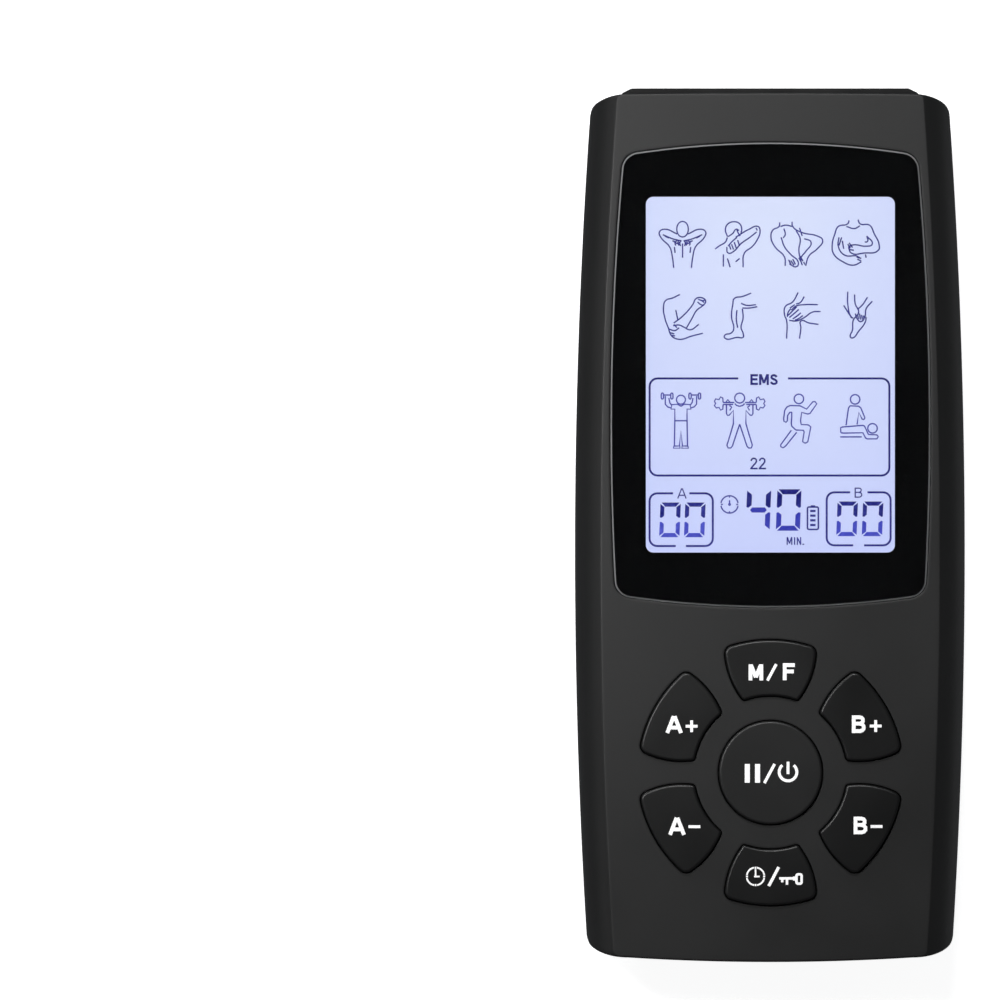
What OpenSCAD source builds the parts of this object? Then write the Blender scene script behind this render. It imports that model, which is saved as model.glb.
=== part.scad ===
// Hand-held two-channel nerve stimulator with a backlit display and seven rubber keys.
// The unit lies on its back: +Z is the front face, +Y the end with the two lead jacks.
// The origin is under the middle of the casing, on the surface that the back rests on.

/* [Casing] */
// Length of the casing from the lower end to the jack end, without the jack panel
case_length = 127.8; // [120:0.1:155]
// Width of the casing where it is widest
case_width = 57.4; // [54:0.1:70]
// Depth of the casing from its back to its front face
case_depth = 20.5; // [19.5:0.1:26]
// Thickness of the side and end walls
side_wall = 2.0; // [1.4:0.1:2.6]
// Thickness of the back wall
back_wall = 2.0; // [1.4:0.1:2.6]
// Thickness of the front wall
front_wall = 2.4; // [2.1:0.1:3]
// Height of the joint line between the two shells
split_height = 11.1; // [10.6:0.1:11.6]
// Radius of the bowed long sides, seen from the front
side_radius = 930; // [700:10:1400]
// Distance from the middle of the length to where the casing is widest
widest_at = -4; // [-10:0.5:6]
// Radius of the rounded lower end
lower_end_radius = 330; // [180:2:500]
// Radius of the slightly rounded jack end
jack_end_radius = 1500; // [500:20:3000]
// Width of each rounded corner, seen from the front
corner_width = 6.0; // [5:0.1:8]
// Length of each rounded corner, seen from the front
corner_length = 2.9; // [2.5:0.1:5]
// Width of the soft bevel along each long side
bevel_width = 3.8; // [3:0.1:5]
// Height of that bevel
bevel_height = 6; // [5:0.1:7]
// Radius where the sides turn into the back
back_edge_radius = 9; // [6:0.5:9.5]
// Radius where the ends turn into the back
end_edge_radius = 4; // [3:0.1:4.2]
// Height of the tongue that locks the shells together
tongue_height = 1.2; // [0.8:0.1:1.6]
// Thickness of that tongue
tongue_wall = 0.9; // [0.7:0.1:1.1]

/* [Display window] */
// Half of the lens width where it is widest
lens_half_width = 23.5; // [21:0.1:24.5]
// Distance of the lens's upper edge above the middle of the length
lens_upper_y = 56.2; // [50:0.1:57]
// Distance of the lens's lower edge above the middle of the length
lens_lower_y = -12.1; // [-16:0.1:-8]
// Thickness of the clear lens
lens_thickness = 1.2; // [0.8:0.1:1.3]
// Width of the lit part of the display
view_width = 36.6; // [30:0.1:38]
// Height of the lit part of the display
view_height = 52.3; // [40:0.1:53]
// Height of the middle of the lit part above the middle of the length
view_y = 22.1; // [18:0.1:23]
// Radius of its corners
view_corner = 1.1; // [0.4:0.1:2]

/* [Keys] */
// Height of the middle of the key ring above the middle of the length
ring_y = -36.4; // [-38:0.1:-34]
// Radius of the round middle key
centre_key_radius = 7.6; // [6:0.1:8]
// Inner radius of the ring of six keys
ring_inner_radius = 11.3; // [11:0.1:12]
// Outer radius of the ring of six keys
ring_outer_radius = 19.5; // [16:0.1:20]
// Half of the angle that one ring key spans
key_half_angle = 21.2; // [16:0.1:22]
// Radius of the bowed sides of one ring key
key_side_radius = 12.5; // [10:0.5:40]
// How far the keys stand above the front face
key_rise = 0.85; // [0.5:0.05:1.2]
// How far a key travels when it is pressed
key_travel = 0.8; // [0.4:0.05:0.9]
// Gap between a key and the edge of its opening
key_gap = 0.25; // [0.2:0.05:0.5]

/* [Sockets] */
// Distance of each lead jack from the middle of the width
jack_x = 9; // [8:0.5:10]
// Radius of the bore that takes a 3.5 mm lead plug
jack_bore_radius = 1.8; // [1.4:0.05:2]
// Depth of that bore
jack_bore_length = 14; // [11:0.5:15]
// How far the jack panel stands out of the jack end
panel_rise = 0.7; // [0.5:0.1:1.5]
// Width of the jack panel
panel_width = 43.6; // [38:0.2:44]

/* [Battery] */
// Width of the lithium cell
cell_width = 34; // [28:0.5:36]
// Length of the lithium cell
cell_length = 48; // [40:0.5:50]
// Thickness of the lithium cell
cell_thickness = 6; // [4:0.1:6]

/* [Label] */
// Width of the blank rating label on the back
label_width = 36; // [20:1:38]
// Height of that label
label_height = 24; // [12:1:30]
// Height of its middle above the middle of the length
label_y = 12; // [-10:1:30]

/* [Hidden] */
$fn = 64;
sweep_fn = 256;
// half of the angle through which a long side's section is turned about its far axis
side_turn = 5;
// a size larger than the unit, for cutting blocks
beyond = 200;
lower_end_y = -(case_length + panel_rise) / 2;
jack_end_y = lower_end_y + case_length;
front_inside = case_depth - front_wall;

// the lens pocket and what is stacked in it
lens_gap = 0.25;
lens_side_radius = 430;
lens_upper_radius = 133;
lens_lower_radius = 150;
lens_corner = 2.6;
mask_thickness = 0.1;
glue_thickness = 0.15;
glue_width = 1.8;
lens_bottom = case_depth - lens_thickness;
pocket_floor = lens_bottom - mask_thickness - glue_thickness;
window_margin = 1.7;
window_corner = 1.2;

// the display stack, from the front wall down to the circuit board
stack_gap = 0.1;
film_thickness = 0.2;
glass_thickness = 0.7;
guide_thickness = 2;
glass_margin = 2.7;
contact_ledge = 3.5;
front_film_bottom = front_inside - stack_gap - film_thickness;
front_glass_bottom = front_film_bottom - glass_thickness;
rear_glass_bottom = front_glass_bottom - glass_thickness;
rear_film_bottom = rear_glass_bottom - film_thickness;
guide_bottom = rear_film_bottom - guide_thickness;
board_top = guide_bottom - film_thickness;
glass_half = view_width / 2 + glass_margin;
glass_upper_y = view_y + view_height / 2 + glass_margin;
glass_lower_y = view_y - view_height / 2 - glass_margin;
ledge_lower_y = glass_lower_y - contact_ledge;
holder_wall = 1.4;
holder_gap = 0.15;
led_depth = 1.6;

// the circuit board
board_thickness = 1.6;
board_bottom = board_top - board_thickness;
board_gap = 0.8;
contact_thickness = 0.06;

// the keypad: a mat on the board, a flexing web under each key, and the keys
mat_thickness = 1;
mat_rim = 2.8;
web_wall = 0.4;
flange_width = 0.9;
flange_headroom = 0.4;
pill_radius = 2.4;
pill_thickness = 1;
closing_gap = 0.03;
outer_corner = 1.2;
inner_corner = 0.5;
mat_top = board_top + mat_thickness;
pill_bottom = board_top + contact_thickness + key_travel + closing_gap;
flange_bottom = pill_bottom + pill_thickness + 0.5;
key_top = case_depth + key_rise;

// screws and the bosses that they go into
boss_radius = 2.8;
screw_radius = 0.95;
screw_gap = 0.1;
head_radius = 1.9;
head_height = 1.4;
head_seat = 5;
case_boss_x = case_width / 2 - back_edge_radius - head_radius - 0.5;
case_boss_y = [lower_end_y + side_wall + boss_radius + 3.7, jack_end_y - side_wall - boss_radius - 1.3];
board_boss_radius = 2.1;
board_screw_length = 4;
board_boss_x = case_width / 2 - side_wall - board_boss_radius - 2.4;
board_screw_places = [
    [-board_boss_x, ledge_lower_y - holder_wall - board_boss_radius - 2],
    [board_boss_x, ledge_lower_y - holder_wall - board_boss_radius - 2],
    [-board_boss_x, case_boss_y[0] + boss_radius + board_boss_radius + 2.6],
    [board_boss_x, case_boss_y[0] + boss_radius + board_boss_radius + 2.6],
    [0, jack_end_y - side_wall - board_boss_radius - 2.8]
];

// the blank rating label's recess in the back
label_depth = 0.15;
label_gap = 0.15;
label_corner = 1.85;

// the jack panel and the jacks behind it
panel_back_y = jack_end_y - 0.7;
panel_low = 4.4;
panel_high = 17;
plug_inset = 2.4;
jack_width = 6.2;
jack_height = 5;
jack_length = 13.4;
barrel_radius = 2.9;
barrel_gap = 0.15;
jack_axis_z = board_bottom - jack_height / 2;
jack_mouth_y = jack_end_y + 0.6;
jack_front_y = jack_end_y - side_wall - 0.1;

// the charging socket
usb_width = 7.6;
usb_height = 2.8;
usb_length = 5.6;
usb_wall = 0.3;
usb_mouth_y = lower_end_y + 0.7;

// the battery and its connector
cell_y = -6;
pad_thickness = 0.5;
cell_bottom = back_wall + pad_thickness;
guard_length = 3.2;
rib_wall = 1.2;
rib_height = 4;
rib_gap = 0.4;
cell_end_y = cell_y - cell_length / 2 - guard_length;
lead_radius = 0.65;
lead_sides = 8;
lead_z = cell_bottom + 2.5;
plug_z = board_bottom - 2.9;
plug_x = 10.5;
socket_x = 13.5;
socket_y = -39.5;
red_route = [
    [-9, cell_end_y, lead_z], [-9, cell_end_y - 1.8, lead_z], [-8.2, cell_end_y - 4.4, lead_z + 0.2],
    [-6, cell_end_y - 6.4, lead_z + 0.8], [-2.5, socket_y - 1, lead_z + 1.8],
    [2, socket_y - 1, lead_z + 3.2], [6, socket_y - 1, plug_z - 0.3],
    [plug_x - 1, socket_y - 1, plug_z], [plug_x, socket_y - 1, plug_z]
];
black_route = [
    [-5, cell_end_y, lead_z], [-5, cell_end_y - 1.2, lead_z], [-4.4, cell_end_y - 3, lead_z + 0.2],
    [-2.6, cell_end_y - 4.6, lead_z + 0.8], [0.5, socket_y + 1, lead_z + 1.8],
    [4, socket_y + 1, lead_z + 3.2], [7, socket_y + 1, plug_z - 0.3],
    [plug_x - 1, socket_y + 1, plug_z], [plug_x, socket_y + 1, plug_z]
];

// each key: its name, its place round the ring clockwise from the jack end, and if it is in the ring
KEYS = [
    ["power", 0, false],
    ["mode", 0, true],
    ["b_up", 60, true],
    ["b_down", 120, true],
    ["timer_lock", 180, true],
    ["a_down", 240, true],
    ["a_up", 300, true]
];
FIXED_NODES = [
    "front_case", "rear_case", "jack_panel", "display_lens", "lens_mask", "lens_adhesive",
    "lcd_front_film", "lcd_front_glass", "lcd_rear_glass", "lcd_rear_film", "backlight_guide",
    "backlight_reflector", "backlight_leds", "lcd_holder", "lcd_contact_strip", "circuit_board",
    "key_contacts", "keypad_mat", "jack_a", "jack_b", "jack_springs", "charge_socket_shell",
    "charge_socket_tongue", "controller_chip", "output_transformers", "boost_coil", "capacitors",
    "output_transistors", "chip_resistors", "buzzer", "battery_cell", "battery_pad", "battery_socket",
    "battery_plug", "battery_lead_red", "battery_lead_black", "case_screws", "board_screws",
    "rating_label"
];

// ---------------------------------------------------------------- outlines

// points along an arc about a centre
function arc(centre, radius, from, to, steps) =
    [for (i = [0:steps]) let (a = from + (to - from) * i / steps) centre + radius * [cos(a), sin(a)]];

// the direction from one point to another, in degrees
function bearing(from, to) = atan2(to[1] - from[1], to[0] - from[0]);

// the point at distance p from centre a and q from centre b, on the side that turn picks
function meeting(a, p, b, q, turn) =
    let (
        d = norm(b - a),
        along = (p * p - q * q + d * d) / (2 * d),
        across = sqrt(p * p - along * along),
        u = (b - a) / d
    )
    a + along * u + turn * across * [-u[1], u[0]];

function mirrored(points) = [for (i = [len(points) - 1:-1:0]) [-points[i][0], points[i][1]]];

function rounded_box(w, h, r, steps = 8) = concat(
    arc([w / 2 - r, h / 2 - r], r, 0, 90, steps),
    arc([r - w / 2, h / 2 - r], r, 90, 180, steps),
    arc([r - w / 2, r - h / 2], r, 180, 270, steps),
    arc([w / 2 - r, r - h / 2], r, 270, 360, steps)
);

// half of the casing's width at a distance above the middle of the length
function half_width_at(y) =
    case_width / 2 - side_radius + sqrt(side_radius * side_radius - pow(y - widest_at, 2));

// quarter of an ellipse about a centre, from the end wall round towards the side
function corner_points(centre, wide, long, end) =
    // it stops this many degrees short of the side, where the outline steps outwards
    let (short = 4, steps = 10)
    [
        for (i = [0:steps])
            let (a = 90 - (90 - short) * i / steps) centre + [wide * cos(a), end * long * sin(a)]
    ];

// one end of the casing's right half, drawn in by d: end is -1 for the lower end and 1 for the other
function end_points(d, end, end_y, radius) =
    let (
        near_side = half_width_at(end_y - end * corner_length) - corner_width,
        turn = asin(near_side / radius),
        middle = [0, end_y - end * radius],
        drop = radius - sqrt(radius * radius - near_side * near_side),
        corner = [near_side, end_y - end * (drop + corner_length)],
        bow = [for (i = [0:8]) let (a = turn * i / 8) middle + (radius - d) * [sin(a), end * cos(a)]]
    )
    concat(bow, corner_points(corner, corner_width - d, corner_length - d, end));

// outline of the casing's ends, drawn in by d: the long sides stand clear of it
function ends_outline(d) =
    let (
        step = [8, 0],
        lower = end_points(d, -1, lower_end_y, lower_end_radius),
        upper = end_points(d, 1, jack_end_y, jack_end_radius),
        last = len(lower) - 1,
        right = concat(
            lower,
            [lower[last] + step, upper[last] + step],
            [for (i = [last:-1:0]) upper[i]]
        )
    )
    concat(right, mirrored(right));

// the lens's outline, drawn in by d
function lens_outline(d) =
    let (
        side = [lens_half_width - lens_side_radius, (lens_upper_y + lens_lower_y) * 0.33],
        lower = [0, lens_lower_y + lens_lower_radius],
        upper = [0, lens_upper_y - lens_upper_radius],
        c = lens_corner,
        low = meeting(side, lens_side_radius - c, lower, lens_lower_radius - c, -1),
        high = meeting(side, lens_side_radius - c, upper, lens_upper_radius - c, 1),
        right = concat(
            arc(lower, lens_lower_radius - d, -90, bearing(lower, low), 10),
            arc(low, c - d, bearing(lower, low), bearing(side, low), 6),
            arc(side, lens_side_radius - d, bearing(side, low), bearing(side, high), 14),
            arc(high, c - d, bearing(side, high), bearing(upper, high), 6),
            arc(upper, lens_upper_radius - d, bearing(upper, high), 90, 10)
        )
    )
    concat(right, mirrored(right));

// section of a long side, drawn in by d: x is 0 at the widest point and negative inwards
function side_section(d) =
    let (
        reach = case_width + 6,
        bevel_radius = (bevel_width * bevel_width + bevel_height * bevel_height) / (2 * bevel_width),
        crease = asin((bevel_height - d) / (bevel_radius - d))
    )
    concat(
        [[-reach, d]],
        arc([-back_edge_radius, back_edge_radius], back_edge_radius - d, -90, 0, 10),
        arc([-bevel_radius, case_depth - bevel_height], bevel_radius - d, 0, crease, 10),
        [[-reach, case_depth - d]]
    );

// side view of the casing, drawn in by d: Y across and Z up
function end_section(d) = concat(
    arc([jack_end_y - end_edge_radius, end_edge_radius], end_edge_radius - d, -90, 0, 6),
    [[jack_end_y - d, case_depth - d], [lower_end_y + d, case_depth - d]],
    arc([lower_end_y + end_edge_radius, end_edge_radius], end_edge_radius - d, 180, 270, 6)
);

// the direction at an angle clockwise from +Y
function towards(angle) = [sin(angle), cos(angle)];

// outline of the ring key nearest the display, grown by e: its long sides are bowed outwards
function ring_key_outline(e) =
    let (
        middle = [0, 0],
        outer_turn = key_half_angle - asin(outer_corner / (ring_outer_radius - outer_corner)),
        inner_turn = key_half_angle - asin(inner_corner / (ring_inner_radius + inner_corner)),
        outer = (ring_outer_radius - outer_corner) * towards(outer_turn),
        inner = (ring_inner_radius + inner_corner) * towards(inner_turn),
        side = meeting(outer, key_side_radius - outer_corner, inner, key_side_radius - inner_corner, -1),
        right = concat(
            arc(middle, ring_outer_radius + e, 90, bearing(middle, outer), 6),
            arc(outer, outer_corner + e, bearing(middle, outer), bearing(side, outer), 4),
            arc(side, key_side_radius + e, bearing(side, outer), bearing(side, inner), 5),
            arc(inner, inner_corner + e, bearing(side, inner), bearing(inner, middle), 4),
            arc(middle, ring_inner_radius - e, bearing(middle, inner), 90, 4)
        )
    )
    concat(right, mirrored(right));

// ---------------------------------------------------------------- shared shapes

// one long side's section swept about its far axis, drawn in by d
module long_side(d) {
    translate([case_width / 2 - side_radius, widest_at, 0])
        rotate([0, 0, -side_turn])
            rotate_extrude(angle = 2 * side_turn, $fn = sweep_fn)
                translate([side_radius, 0])
                    polygon(side_section(d));
}

// the whole casing as a solid, drawn in by d
module case_form(d) {
    intersection() {
        long_side(d);
        mirror([1, 0, 0]) long_side(d);
        translate([0, 0, -1]) linear_extrude(case_depth + 2) polygon(ends_outline(d));
        translate([-beyond / 2, 0, 0])
            rotate([90, 0, 90])
                linear_extrude(beyond) polygon(end_section(d));
    }
}

module layer(from, to) {
    translate([-beyond / 2, -beyond / 2, from]) cube([beyond, beyond, to - from]);
}

module case_cavity() {
    intersection() {
        case_form(side_wall);
        layer(back_wall, front_inside);
    }
}

// a block by its lowest and highest corners
module block(low, high) {
    translate(low) cube(high - low);
}

module at_each(places) {
    for (place = places) translate(place) children();
}

module case_boss_places() {
    for (x = [-1, 1], y = case_boss_y) translate([x * case_boss_x, y, 0]) children();
}

// the flat shape of a key, grown by e, in its place
module key_shape(key, e) {
    translate([0, ring_y])
        rotate(-key[1])
            if (key[2]) polygon(ring_key_outline(e));
            else circle(centre_key_radius + e);
}

// where the middle of a key is
function key_middle(key) =
    [0, ring_y] + (key[2] ? (ring_inner_radius + ring_outer_radius) / 2 : 0) * towards(key[1]);

// the room that the jack panel takes in the casing's end, with a gap round it
module panel_room(gap) {
    half = panel_width / 2 + gap;
    block([-half, panel_back_y - gap, panel_low - gap], [half, jack_end_y + 2, panel_high + gap]);
    block([plug_inset - half, jack_end_y - side_wall - 1, panel_low + plug_inset - gap],
          [half - plug_inset, jack_end_y, panel_high - plug_inset + gap]);
}

module usb_room() {
    grow = 0.35;
    half = usb_width / 2 + grow;
    block([-half, lower_end_y - 1, board_bottom - usb_height - grow],
          [half, lower_end_y + side_wall + 1, board_bottom + grow]);
}

// ---------------------------------------------------------------- casing

module front_case() {
    color([0.16, 0.17, 0.18])
        difference() {
            union() {
                difference() {
                    intersection() {
                        case_form(0);
                        layer(split_height, case_depth + 1);
                    }
                    case_cavity();
                }
                case_boss_places()
                    translate([0, 0, split_height])
                        cylinder(r = boss_radius, h = front_inside + 0.5 - split_height);
                at_each(board_screw_places)
                    translate([0, 0, board_top])
                        cylinder(r = board_boss_radius, h = front_inside + 0.5 - board_top);
            }
            // the rebate for the rear shell's tongue
            intersection() {
                case_form(side_wall - tongue_wall - screw_gap);
                layer(split_height - 1, split_height + tongue_height + screw_gap);
                difference() {
                    layer(0, case_depth);
                    case_boss_places() cylinder(r = boss_radius, h = case_depth);
                }
            }
            // the lens pocket and the window under it
            translate([0, 0, pocket_floor]) linear_extrude(5) polygon(lens_outline(-lens_gap));
            translate([0, view_y, front_inside - 1])
                linear_extrude(5)
                    polygon(rounded_box(view_width + 2 * window_margin,
                                        view_height + 2 * window_margin, window_corner));
            for (key = KEYS)
                translate([0, 0, front_inside - 1]) linear_extrude(8) key_shape(key, key_gap);
            case_boss_places()
                translate([0, 0, split_height - 1])
                    cylinder(r = screw_radius + screw_gap, h = front_inside - split_height);
            at_each(board_screw_places)
                translate([0, 0, board_top - 1])
                    cylinder(r = screw_radius + screw_gap, h = board_screw_length);
            panel_room(screw_gap);
            usb_room();
        }
}

module rear_case() {
    color([0.13, 0.14, 0.15])
        difference() {
            union() {
                difference() {
                    intersection() {
                        case_form(0);
                        layer(-1, split_height);
                    }
                    case_cavity();
                }
                // the tongue
                intersection() {
                    case_form(side_wall - tongue_wall);
                    layer(split_height - 1, split_height + tongue_height);
                    difference() {
                        layer(0, case_depth);
                        case_cavity();
                    }
                }
                intersection() {
                    case_boss_places() cylinder(r = boss_radius + 0.6, h = split_height);
                    case_form(side_wall / 2);
                }
                battery_ribs();
            }
            case_boss_places() {
                translate([0, 0, -1]) cylinder(r = head_radius + 0.2, h = head_seat + 1);
                cylinder(r = screw_radius + 2 * screw_gap, h = split_height + 1);
            }
            translate([0, label_y, -1])
                linear_extrude(1 + label_depth)
                    polygon(rounded_box(label_width + 2 * label_gap, label_height + 2 * label_gap,
                                        label_corner + label_gap));
            panel_room(screw_gap);
            usb_room();
        }
}

// low walls that keep the cell in its place, open where its leads come out
module battery_ribs() {
    half = cell_width / 2 + rib_gap;
    top_y = cell_y + cell_length / 2 + rib_gap;
    foot = back_wall - 0.5;
    for (side = [-1, 1])
        translate([side * (half + rib_wall / 2) - rib_wall / 2, cell_end_y, foot])
            cube([rib_wall, top_y - cell_end_y, rib_height + 0.5]);
    block([-half - rib_wall, top_y, foot], [half + rib_wall, top_y + rib_wall, back_wall + rib_height]);
}

module jack_panel() {
    half = panel_width / 2;
    slope = 1.4;
    outline = [
        [-half, panel_back_y], [half, panel_back_y],
        [half, jack_end_y], [half - slope, jack_end_y + panel_rise],
        [slope - half, jack_end_y + panel_rise], [-half, jack_end_y]
    ];
    color([0.08, 0.08, 0.09])
        difference() {
            union() {
                translate([0, 0, panel_low]) linear_extrude(panel_high - panel_low) polygon(outline);
                block([plug_inset - half, jack_end_y - side_wall, panel_low + plug_inset],
                      [half - plug_inset, panel_back_y + 0.2, panel_high - plug_inset]);
            }
            for (x = [-jack_x, jack_x])
                translate([x, jack_end_y - side_wall - 1, jack_axis_z])
                    rotate([-90, 0, 0]) cylinder(r = barrel_radius + barrel_gap, h = 8);
        }
}

module case_screws() {
    color([0.62, 0.63, 0.66])
        case_boss_places()
            difference() {
                union() {
                    translate([0, 0, head_seat - head_height]) cylinder(r = head_radius, h = head_height);
                    translate([0, 0, head_seat - 0.2])
                        cylinder(r = screw_radius, h = front_inside - head_seat - 2.2);
                }
                for (turn = [0, 90])
                    translate([0, 0, head_seat - head_height])
                        rotate(turn) cube([2.4, 0.6, 1.4], center = true);
            }
}

module board_screws() {
    color([0.7, 0.7, 0.72])
        at_each(board_screw_places)
            difference() {
                union() {
                    translate([0, 0, board_bottom - head_height])
                        cylinder(r = head_radius - 0.1, h = head_height);
                    translate([0, 0, board_bottom - 0.2])
                        cylinder(r = screw_radius, h = board_thickness + board_screw_length - 1.4);
                }
                for (turn = [0, 90])
                    translate([0, 0, board_bottom - head_height])
                        rotate(turn) cube([2.2, 0.5, 1.2], center = true);
            }
}

module rating_label() {
    color([0.75, 0.76, 0.78])
        translate([0, label_y, 0.03])
            linear_extrude(label_depth - 0.03)
                polygon(rounded_box(label_width, label_height, label_corner));
}

// ---------------------------------------------------------------- display

module display_lens() {
    color([0.05, 0.05, 0.06, 0.6])
        translate([0, 0, lens_bottom]) linear_extrude(lens_thickness) polygon(lens_outline(0));
}

module lens_mask() {
    color([0.02, 0.02, 0.02])
        translate([0, 0, lens_bottom - mask_thickness])
            linear_extrude(mask_thickness)
                difference() {
                    polygon(lens_outline(0.3));
                    translate([0, view_y]) polygon(rounded_box(view_width, view_height, view_corner));
                }
}

module lens_adhesive() {
    color([0.85, 0.85, 0.8])
        translate([0, 0, pocket_floor])
            linear_extrude(glue_thickness)
                difference() {
                    polygon(lens_outline(0.4));
                    polygon(lens_outline(0.4 + glue_width));
                }
}

// a flat rectangle of the display stack, between two heights above the middle of the length
module sheet_between(half, low_y, high_y, bottom, thickness) {
    block([-half, low_y, bottom], [half, high_y, bottom + thickness]);
}

module lcd_front_film() {
    color([0.6, 0.62, 0.6, 0.7])
        sheet_between(glass_half - 0.6, glass_lower_y + 0.6, glass_upper_y - 0.6,
                      front_film_bottom, film_thickness);
}

module lcd_front_glass() {
    color([0.8, 0.88, 0.9, 0.5])
        sheet_between(glass_half, ledge_lower_y, glass_upper_y, front_glass_bottom, glass_thickness);
}

module lcd_rear_glass() {
    color([0.8, 0.88, 0.9, 0.5])
        sheet_between(glass_half, glass_lower_y, glass_upper_y, rear_glass_bottom, glass_thickness);
}

module lcd_rear_film() {
    color([0.6, 0.62, 0.6, 0.7])
        sheet_between(glass_half - 0.6, glass_lower_y + 0.6, glass_upper_y - 0.6,
                      rear_film_bottom, film_thickness);
}

module backlight_guide() {
    color([0.92, 0.95, 1, 0.8])
        sheet_between(glass_half - 0.4, glass_lower_y + 0.3, glass_upper_y - led_depth - 0.4,
                      guide_bottom, guide_thickness);
}

module backlight_reflector() {
    color([0.97, 0.97, 0.97])
        sheet_between(glass_half - 0.4, glass_lower_y + 0.3, glass_upper_y - led_depth - 0.4,
                      board_top, film_thickness);
}

module backlight_leds() {
    color([0.98, 0.95, 0.7])
        for (x = [-12, 0, 12])
            translate([x, 0, 0])
                sheet_between(1.8, glass_upper_y - led_depth - 0.2, glass_upper_y - 0.3, board_top, 1.4);
}

module lcd_holder() {
    color([0.93, 0.93, 0.92])
        difference() {
            sheet_between(glass_half + holder_gap + holder_wall, ledge_lower_y - holder_gap - holder_wall,
                          glass_upper_y + holder_gap + holder_wall, board_top,
                          front_glass_bottom + 0.4 - board_top);
            sheet_between(glass_half + holder_gap, glass_lower_y - holder_gap,
                          glass_upper_y + holder_gap, board_top - 1, 8);
            // the shelf under the contact ledge, with the slot for the contact strip
            sheet_between(glass_half + holder_gap, ledge_lower_y - holder_gap,
                          glass_lower_y, front_glass_bottom, 4);
            sheet_between(strip_half + 0.1, ledge_lower_y + 0.4, ledge_lower_y + 2.8, board_top - 1, 8);
        }
}

strip_half = 17;
module lcd_contact_strip() {
    color([0.85, 0.45, 0.55])
        sheet_between(strip_half, ledge_lower_y + 0.5, ledge_lower_y + 2.7, board_top,
                      front_glass_bottom - board_top);
}

// ---------------------------------------------------------------- circuit board and keypad

module circuit_board() {
    side = case_width / 2 - side_wall - board_gap - 1.9;
    high = jack_end_y - side_wall - board_gap;
    low = lower_end_y + side_wall + board_gap;
    notch = case_boss_x - boss_radius - board_gap;
    high_notch = case_boss_y[1] - boss_radius - board_gap;
    low_notch = case_boss_y[0] + boss_radius + board_gap;
    right = [
        [0, low], [notch, low], [notch, low_notch], [side, low_notch],
        [side, high_notch], [notch, high_notch], [notch, high], [0, high]
    ];
    color([0.08, 0.35, 0.2])
        translate([0, 0, board_bottom])
            linear_extrude(board_thickness)
                difference() {
                    polygon(concat(right, mirrored(right)));
                    at_each(board_screw_places) circle(screw_radius + 2 * screw_gap);
                }
}

// two half rounds of gilded track under each key, which its pill bridges
module key_contacts() {
    half_gap = 0.2;
    color([0.85, 0.7, 0.3])
        for (key = KEYS)
            translate(concat(key_middle(key), board_top))
                linear_extrude(contact_thickness)
                    for (side = [0, 180])
                        rotate(side)
                            intersection() {
                                circle(pill_radius);
                                translate([half_gap, -pill_radius]) square([pill_radius, 2 * pill_radius]);
                            }
}

module keypad_mat() {
    color([0.2, 0.2, 0.21])
        translate([0, 0, board_top + contact_thickness])
            linear_extrude(mat_thickness - contact_thickness)
                difference() {
                    translate([0, ring_y]) circle(ring_outer_radius + mat_rim, $fn = 96);
                    for (key = KEYS) key_shape(key, flange_width - web_wall);
                }
}

// the thin wall that carries a key on the mat and buckles when the key is pressed
module key_web(key) {
    color([0.22, 0.22, 0.23])
        translate([0, 0, mat_top])
            linear_extrude(flange_bottom - mat_top)
                difference() {
                    key_shape(key, flange_width);
                    key_shape(key, flange_width - web_wall);
                }
}

module key_cap(key) {
    tone = key[2] ? 0.12 : 0.17;
    color([tone, tone, tone + 0.01]) {
        translate([0, 0, flange_bottom])
            linear_extrude(front_inside - flange_headroom - flange_bottom) key_shape(key, flange_width);
        translate([0, 0, front_inside - flange_headroom - 0.1])
            linear_extrude(key_top - front_inside + flange_headroom + 0.1) key_shape(key, 0);
        translate(concat(key_middle(key), pill_bottom + pill_thickness))
            cylinder(r = pill_radius, h = flange_bottom + 0.1 - pill_bottom - pill_thickness);
    }
}

module key_pill(key) {
    color([0.05, 0.05, 0.05])
        translate(concat(key_middle(key), pill_bottom)) cylinder(r = pill_radius, h = pill_thickness);
}

// ---------------------------------------------------------------- sockets

// a lead jack: a block on the board with a barrel that reaches into the panel
module lead_jack(x) {
    color([0.1, 0.1, 0.11])
        difference() {
            union() {
                block([x - jack_width / 2, jack_front_y - jack_length, board_bottom - jack_height],
                      [x + jack_width / 2, jack_front_y, board_bottom]);
                translate([x, jack_front_y - 0.1, jack_axis_z])
                    rotate([-90, 0, 0]) cylinder(r = barrel_radius, h = jack_mouth_y - jack_front_y + 0.1);
            }
            translate([x, jack_mouth_y - jack_bore_length, jack_axis_z])
                rotate([-90, 0, 0]) cylinder(r = jack_bore_radius, h = jack_bore_length + 1);
        }
}

module jack_a() {
    lead_jack(-jack_x);
}

module jack_b() {
    lead_jack(jack_x);
}

// sprung contact leaves along both sides of each jack
module jack_springs() {
    leaf = 0.3;
    color([0.85, 0.72, 0.4])
        for (x = [-jack_x, jack_x], side = [-1, 1])
            translate([x + side * (jack_width / 2 + leaf / 2) - leaf / 2,
                       jack_front_y - jack_length + 1, board_bottom - jack_height + 1])
                cube([leaf, jack_length - 3, jack_height - 1]);
}

module charge_socket_shell() {
    color([0.75, 0.76, 0.78])
        difference() {
            block([-usb_width / 2, usb_mouth_y, board_bottom - usb_height],
                  [usb_width / 2, usb_mouth_y + usb_length, board_bottom]);
            block([usb_wall - usb_width / 2, usb_mouth_y - 1, board_bottom - usb_height + usb_wall],
                  [usb_width / 2 - usb_wall, usb_mouth_y + usb_length - usb_wall,
                   board_bottom - usb_wall]);
        }
}

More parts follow.
